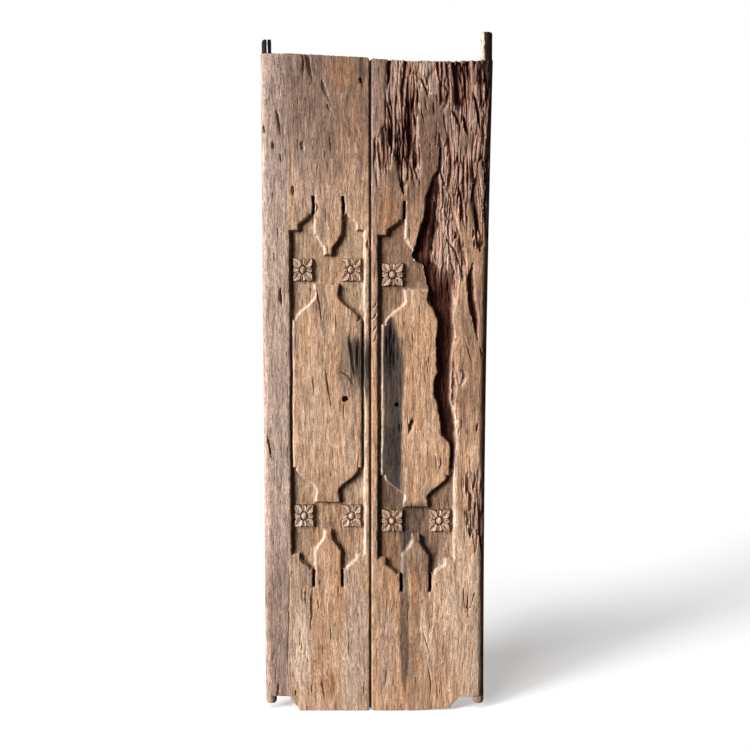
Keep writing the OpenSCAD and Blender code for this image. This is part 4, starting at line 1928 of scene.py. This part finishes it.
        # Darkening at the foot of the cliff, where its shadow falls, and in the ravine is painted shade;
        # between the ribs it is dirt and painted shade
        bottom = (1 - ravine) * step(0.40, 0.20, t) + ravine * step(0.92, 0.70, t)
        dirt = inside * np.clip(bottom + 0.9 * step(0.44, 0.70, between), 0, 0.98)
        lip = step(right + 7, right, wavering)
        ridge = self.ridge(u, z)
        return np.clip(depth, 0, self.DEEPEST) * within * lip * (1 - 0.7 * ridge), inside, dirt * (1 - ridge)

    def ridge(self, u: Array, z: Array) -> Array:
        """Gives the pale ridge that stands along the outer lip of the ravine.

        Args:
            u: Places across.
            z: Places upwards.

        Returns:
            Strengths from 0 to 1.
        """
        middle = at_height(self.RIDGE, z) + self.RIDGE_RIPPLE.swing(self.noises[4], z, 0 * z)
        ends = step(*self.RIDGE_FOOT, z) * step(*self.RIDGE_HEAD, z)
        return np.exp(-((u - middle) / self.RIDGE_W) ** 2) * ends

    def fibres(self, u: Array, z: Array) -> Array:
        """Gives the open fibres of eroded wood: 0 on their crests and about 1 between them.

        Args:
            u: Places across.
            z: Places upwards.

        Returns:
            How deep each place lies between the fibres.
        """
        a, b, c, d, e = self.noises[5:10]
        leaning = u + (self.LEAN.swing(a, u, z) + self.SMALL_LEAN.swing(b, u, z))
        coarse = self.COARSE_FIBRES.strength * (1 - self.COARSE_FIBRES.crests(c, leaning, z))
        middle = self.MIDDLE_FIBRES.strength * self.MIDDLE_FIBRES.crests(d, leaning, z) ** 3
        fine = self.FINE_FIBRES.strength * self.FINE_FIBRES.crests(e, leaning, z) ** 3
        uneven = 0.70 + 0.50 * step(0.3, 0.7, self.FIBRE_PATCHES.rise(b, u, z))
        return (coarse + middle + fine) * uneven

    def erosion(self, u: Array, z: Array) -> tuple[Array, Array]:
        """Gives what weather has taken.

        Args:
            u: Places across.
            z: Places upwards.

        Returns:
            Depths, and how far the carving is gone.
        """
        depth, _ = super().erosion(u, z)
        n = self.noises[6]
        feather = shaken(0.0, self.FEATHER, n, u, z)
        fingers = np.clip(shaken(0.0, self.FINGERS, n, u, z), *self.FINGER_LIMITS)
        spared = np.zeros(u.shape)
        for island in self.ISLANDS:
            gap = inside_distance(u, z - fingers, np.array(island, float)) + 1.5 * feather
            spared = np.maximum(spared, step(*self.ISLAND_EDGE, gap))
        rough = np.clip(self.fibres(u, z) * self.FIBRE_GAIN - self.FIBRE_START, 0, self.FIBRE_LIMIT)
        rough = rough ** self.FIBRE_POWER
        shallow = 1 - self.SHALLOW_HEAD * step(1250, 1296, z) * step(146, 120, u)
        for outline, least, between in self.OPEN_FIBRES:
            gap = inside_distance(u, z + fingers, np.array(outline, float)) + feather
            open_part = step(*self.OPEN_EDGE, gap) * (1 - self.ISLAND_SPARES * spared) * shallow
            depth = np.maximum(depth, open_part * (least + between * rough))
        deep, gone, _ = self.valley(u, z)
        return np.maximum(depth, deep), gone

    def greying(self, u: Array, z: Array, ragged: Array) -> Array:
        """Gives how far the wood has greyed.

        Args:
            u: Places across.
            z: Places upwards.
            ragged: Unevenness of the edges, about 0.

        Returns:
            Strengths from 0 to 1.
        """
        head = step(1000, 1220, z + 90 * ragged)
        strip = step(30, 12, u + 6 * ragged) * step(500, 1000, z) * 0.4
        return np.clip(0.5 * head + strip, 0, 1)

    def browning(self, u: Array, z: Array, ragged: Array) -> Array:
        """Gives how far the wood has darkened.

        Args:
            u: Places across.
            z: Places upwards.
            ragged: Unevenness of the edges, about 0.

        Returns:
            Strengths from 0 to 1.
        """
        head = step(890, 1070, z + 70 * ragged)
        border = step(172, 186, u + 6 * ragged) * step(520, 680, z + 60 * ragged)
        border = border * (1 - 0.35 * step(820, 900, z))
        return np.clip(np.maximum(0.76 * head * step(-14, 34, u), 0.58 * border) + 0.2 * ragged, 0, 0.9)

    def dirt(self, u: Array, z: Array, lost: Array) -> Array:
        """Gives the darkening of deep hollows, which is dirt and painted shade, and the painted shade on the
        outer edge, which turns away from the light.

        Args:
            u: Places across.
            z: Places upwards.
            lost: Depths that weather has taken.

        Returns:
            Strengths from 0 to 1.
        """
        _, inside, dirt = self.valley(u, z)
        edge = self.width - self.lost_width(z)
        # Painted shade along the rounded outer edge, which turns away from the light
        shaded = 0.9 * step(-15, -6, u - edge + self.EDGE_RIPPLE.swing(self.noises[4], u, z))
        return np.maximum(np.where(inside > 0.3, dirt, 0.9 * step(4.2, 10.2, lost)), shaded)

    def checks(self, u: Array, z: Array) -> Array:
        """Gives the depth of the small checks, which crowd in the burnt wood.

        Args:
            u: Places across.
            z: Places upwards.

        Returns:
            Depths in millimetres.
        """
        depth = super().checks(u, z)
        draw = np.random.default_rng(self.seed + 70)
        for _ in range(self.BURNT_CHECKS):
            cu, cz, length = draw.uniform(27, 55), draw.uniform(738, 812), draw.uniform(12, 40)
            path = ((cu, cz), (cu + 0.06 * length, cz - length))
            groove = Groove(path, draw.uniform(2.2, 4.2), draw.uniform(2.0, 4.5))
            depth = np.maximum(depth, groove.cut(u, z))
        return depth

    def crests(self, u: Array, z: Array, lost: Array) -> Array:
        """Gives the painted highlight on the crests of open fibres, on the valley's ribs and on the ridge.

        Args:
            u: Places across.
            z: Places upwards.
            lost: Depths that weather has taken.

        Returns:
            Strengths from 0 to 1.
        """
        _, inside, dirt = self.valley(u, z)
        # Painted highlight on the lit crests of the ribs, of the open fibres and of the ridge
        ribs = 0.2 * step(0.4, 0.9, inside) * step(0.36, 0.05, dirt)
        crest_highlight = 0.36 - 0.18 * step(125, 150, u)
        fibres = crest_highlight * step(0.7, 1.6, lost) * step(4.6, 2.4, lost)
        return np.maximum.reduce([ribs, fibres, 0.6 * self.ridge(u, z)])

    def build_head_pivots(self) -> None:
        """Builds the whole pivot, charred but for a stripe on its seam side."""
        axis = self.pivot_axis
        heights = self.outer_h + np.concatenate([[-10, -5, 0], np.linspace(4, 53, 17), [55, 56.2, 57]])
        radius = np.ones(len(heights)) * self.pivot_r * 0.98
        radius[:2] *= (0.55, 0.8)
        radius[-3:] *= (0.97, 0.90, 0.72)
        piece = self.stub("head_pivot", axis, radius, heights, 0.7)
        u, _, z = self.places(piece)
        edge = axis - 4.6 + self.BURN_RIPPLE.swing(self.noises[2], z, 0 * z)
        burnt = step(-1.2, 1.2, u - edge) * step(2.5, 0.5, u - axis - 9.5)
        self.paint(piece, {
            Mask.CHAR: 0.97 * burnt,
            Mask.GREY: 0.5 * (1 - burnt),
            Mask.PALE_AND_HIGHLIGHT: 0.7 * (1 - burnt) * step(0, 5, z - self.outer_h),
        })


@dataclass(frozen=True)
class Lamp:
    """A far lamp, given by the way towards it."""

    name: str
    towards: tuple[float, float, float]
    strength: float
    angle: float

    def add(self, lit: bpy.types.Collection) -> None:
        """Adds the lamp.

        Args:
            lit: The only things that it lights.
        """
        data = bpy.data.lights.new(self.name, "SUN")
        data.energy = self.strength
        data.angle = math.radians(self.angle)
        thing = bpy.data.objects.new(self.name, data)
        bpy.context.collection.objects.link(thing)
        thing.light_linking.receiver_collection = lit
        thing.rotation_euler = Vector(self.towards).to_track_quat("Z", "Y").to_euler()


@dataclass(frozen=True)
class Studio:
    """The pale floor, white backdrop, lamps and camera, in metres."""

    lamps: tuple[Lamp, ...] = (
        Lamp("key", (-1.25, -1.0, 0.47), 5.0, 26.0),
        Lamp("side", (-1.0, -0.08, 0.12), 1.9, 12.0),
        Lamp("soft", (-0.5, -1.0, 0.75), 0.1, 28.0),
        Lamp("back", (0.2, 1.0, 0.6), 2.0, 16.0),
    )
    floor_lamps: tuple[Lamp, ...] = (
        Lamp("long floor shadow", (-1.1, -1.0, 0.5), 3.4, 20.0),
        Lamp("short floor shadow", (-0.6, -1.0, 1.4), 1.2, 22.0),
    )
    fill: float = 0.018
    floor_size: float = 40.0
    floor_glow: float = 0.44
    floor_seen: float = 0.9
    floor_bounce: float = 0.15
    eye: tuple[float, float, float] = (-0.00375, -2.617, 0.9644)
    pitch_down: float = 5.6
    lens: float = 61.252
    sensor: float = 36.0

    def build(self, pieces: list[bpy.types.Object]) -> None:
        """Builds the studio.

        Args:
            pieces: The pieces that the lamps light.
        """
        self.light("lit leaves", pieces, self.lamps)
        self.add_world()
        self.light("lit floor", [self.add_floor()], self.floor_lamps)
        self.add_camera()
        bpy.context.scene.view_settings.view_transform = "Standard"

    @staticmethod
    def light(name: str, things: list[bpy.types.Object], lamps: tuple[Lamp, ...]) -> None:
        """Adds lamps that light only some things.

        Args:
            name: Name of the collection of those things.
            things: What is lit.
            lamps: The lamps.
        """
        lit = bpy.data.collections.new(name)
        for thing in things:
            lit.objects.link(thing)
        for lamp in lamps:
            lamp.add(lit)

    @staticmethod
    def seen_rays(kit: NodeKit) -> Socket:
        """Picks out the rays that show the backdrop itself: camera, glossy and transmission rays.

        Args:
            kit: Adds the nodes.

        Returns:
            1 for those rays, and 0 for others.
        """
        path = kit.tree.nodes.new("ShaderNodeLightPath").outputs
        seen = kit.math("MAXIMUM", path["Is Camera Ray"], path["Is Glossy Ray"])
        return kit.math("MAXIMUM", seen, path["Is Transmission Ray"])

    def add_world(self) -> None:
        """Makes a white backdrop that gives only a weak fill."""
        world = bpy.data.worlds.new("backdrop")
        bpy.context.scene.world = world
        world.use_nodes = True
        tree = world.node_tree
        kit = NodeKit(tree)
        background = tree.nodes["Background"].inputs
        background["Color"].default_value = (1.0, 1.0, 1.0, 1.0)
        strength = kit.map_range(self.seen_rays(kit), 0.0, 1.0, self.fill, 1.0)
        tree.links.new(strength, background["Strength"])

    def add_floor(self) -> bpy.types.Object:
        """Lays a pale floor that shows the shadow.

        Returns:
            The floor.
        """
        half = self.floor_size / 2
        corners = [(-half, -half, 0), (half, -half, 0), (half, half, 0), (-half, half, 0)]
        mesh = bpy.data.meshes.new("floor")
        mesh.from_pydata(corners, [], [(0, 1, 2, 3)])
        floor = bpy.data.objects.new("floor", mesh)
        bpy.context.collection.objects.link(floor)
        material = bpy.data.materials.new("pale_and_highlight_floor")
        material.use_nodes = True
        tree = material.node_tree
        kit = NodeKit(tree)
        shader = tree.nodes["Principled BSDF"].inputs
        seen = self.seen_rays(kit)
        bounce, shown = ((*[grey] * 3, 1.0) for grey in (self.floor_bounce, self.floor_seen))
        tree.links.new(kit.mix(seen, bounce, shown), shader["Base Color"])
        shader["Roughness"].default_value = 1.0
        shader["Specular IOR Level"].default_value = 0.0
        shader["Emission Color"].default_value = (1.0, 1.0, 1.0, 1.0)
        tree.links.new(kit.math("MULTIPLY", seen, self.floor_glow), shader["Emission Strength"])
        mesh.materials.append(material)
        return floor

    def add_camera(self) -> None:
        """Puts the camera where the photograph was taken from."""
        data = bpy.data.cameras.new("camera")
        data.lens = self.lens
        data.sensor_width = self.sensor
        camera = bpy.data.objects.new("camera", data)
        bpy.context.collection.objects.link(camera)
        camera.location = self.eye
        camera.rotation_euler = (math.radians(90 - self.pitch_down), 0.0, 0.0)
        bpy.context.scene.camera = camera


def main() -> None:
    """Builds the leaves and the studio."""
    logging.basicConfig(level=logging.INFO, format="%(message)s")
    pieces = []
    for leaf in (LeftLeaf(), RightLeaf()):
        leaf.build()
        pieces += leaf.pieces
    Studio().build(pieces)


if __name__ == "__main__":
    main()
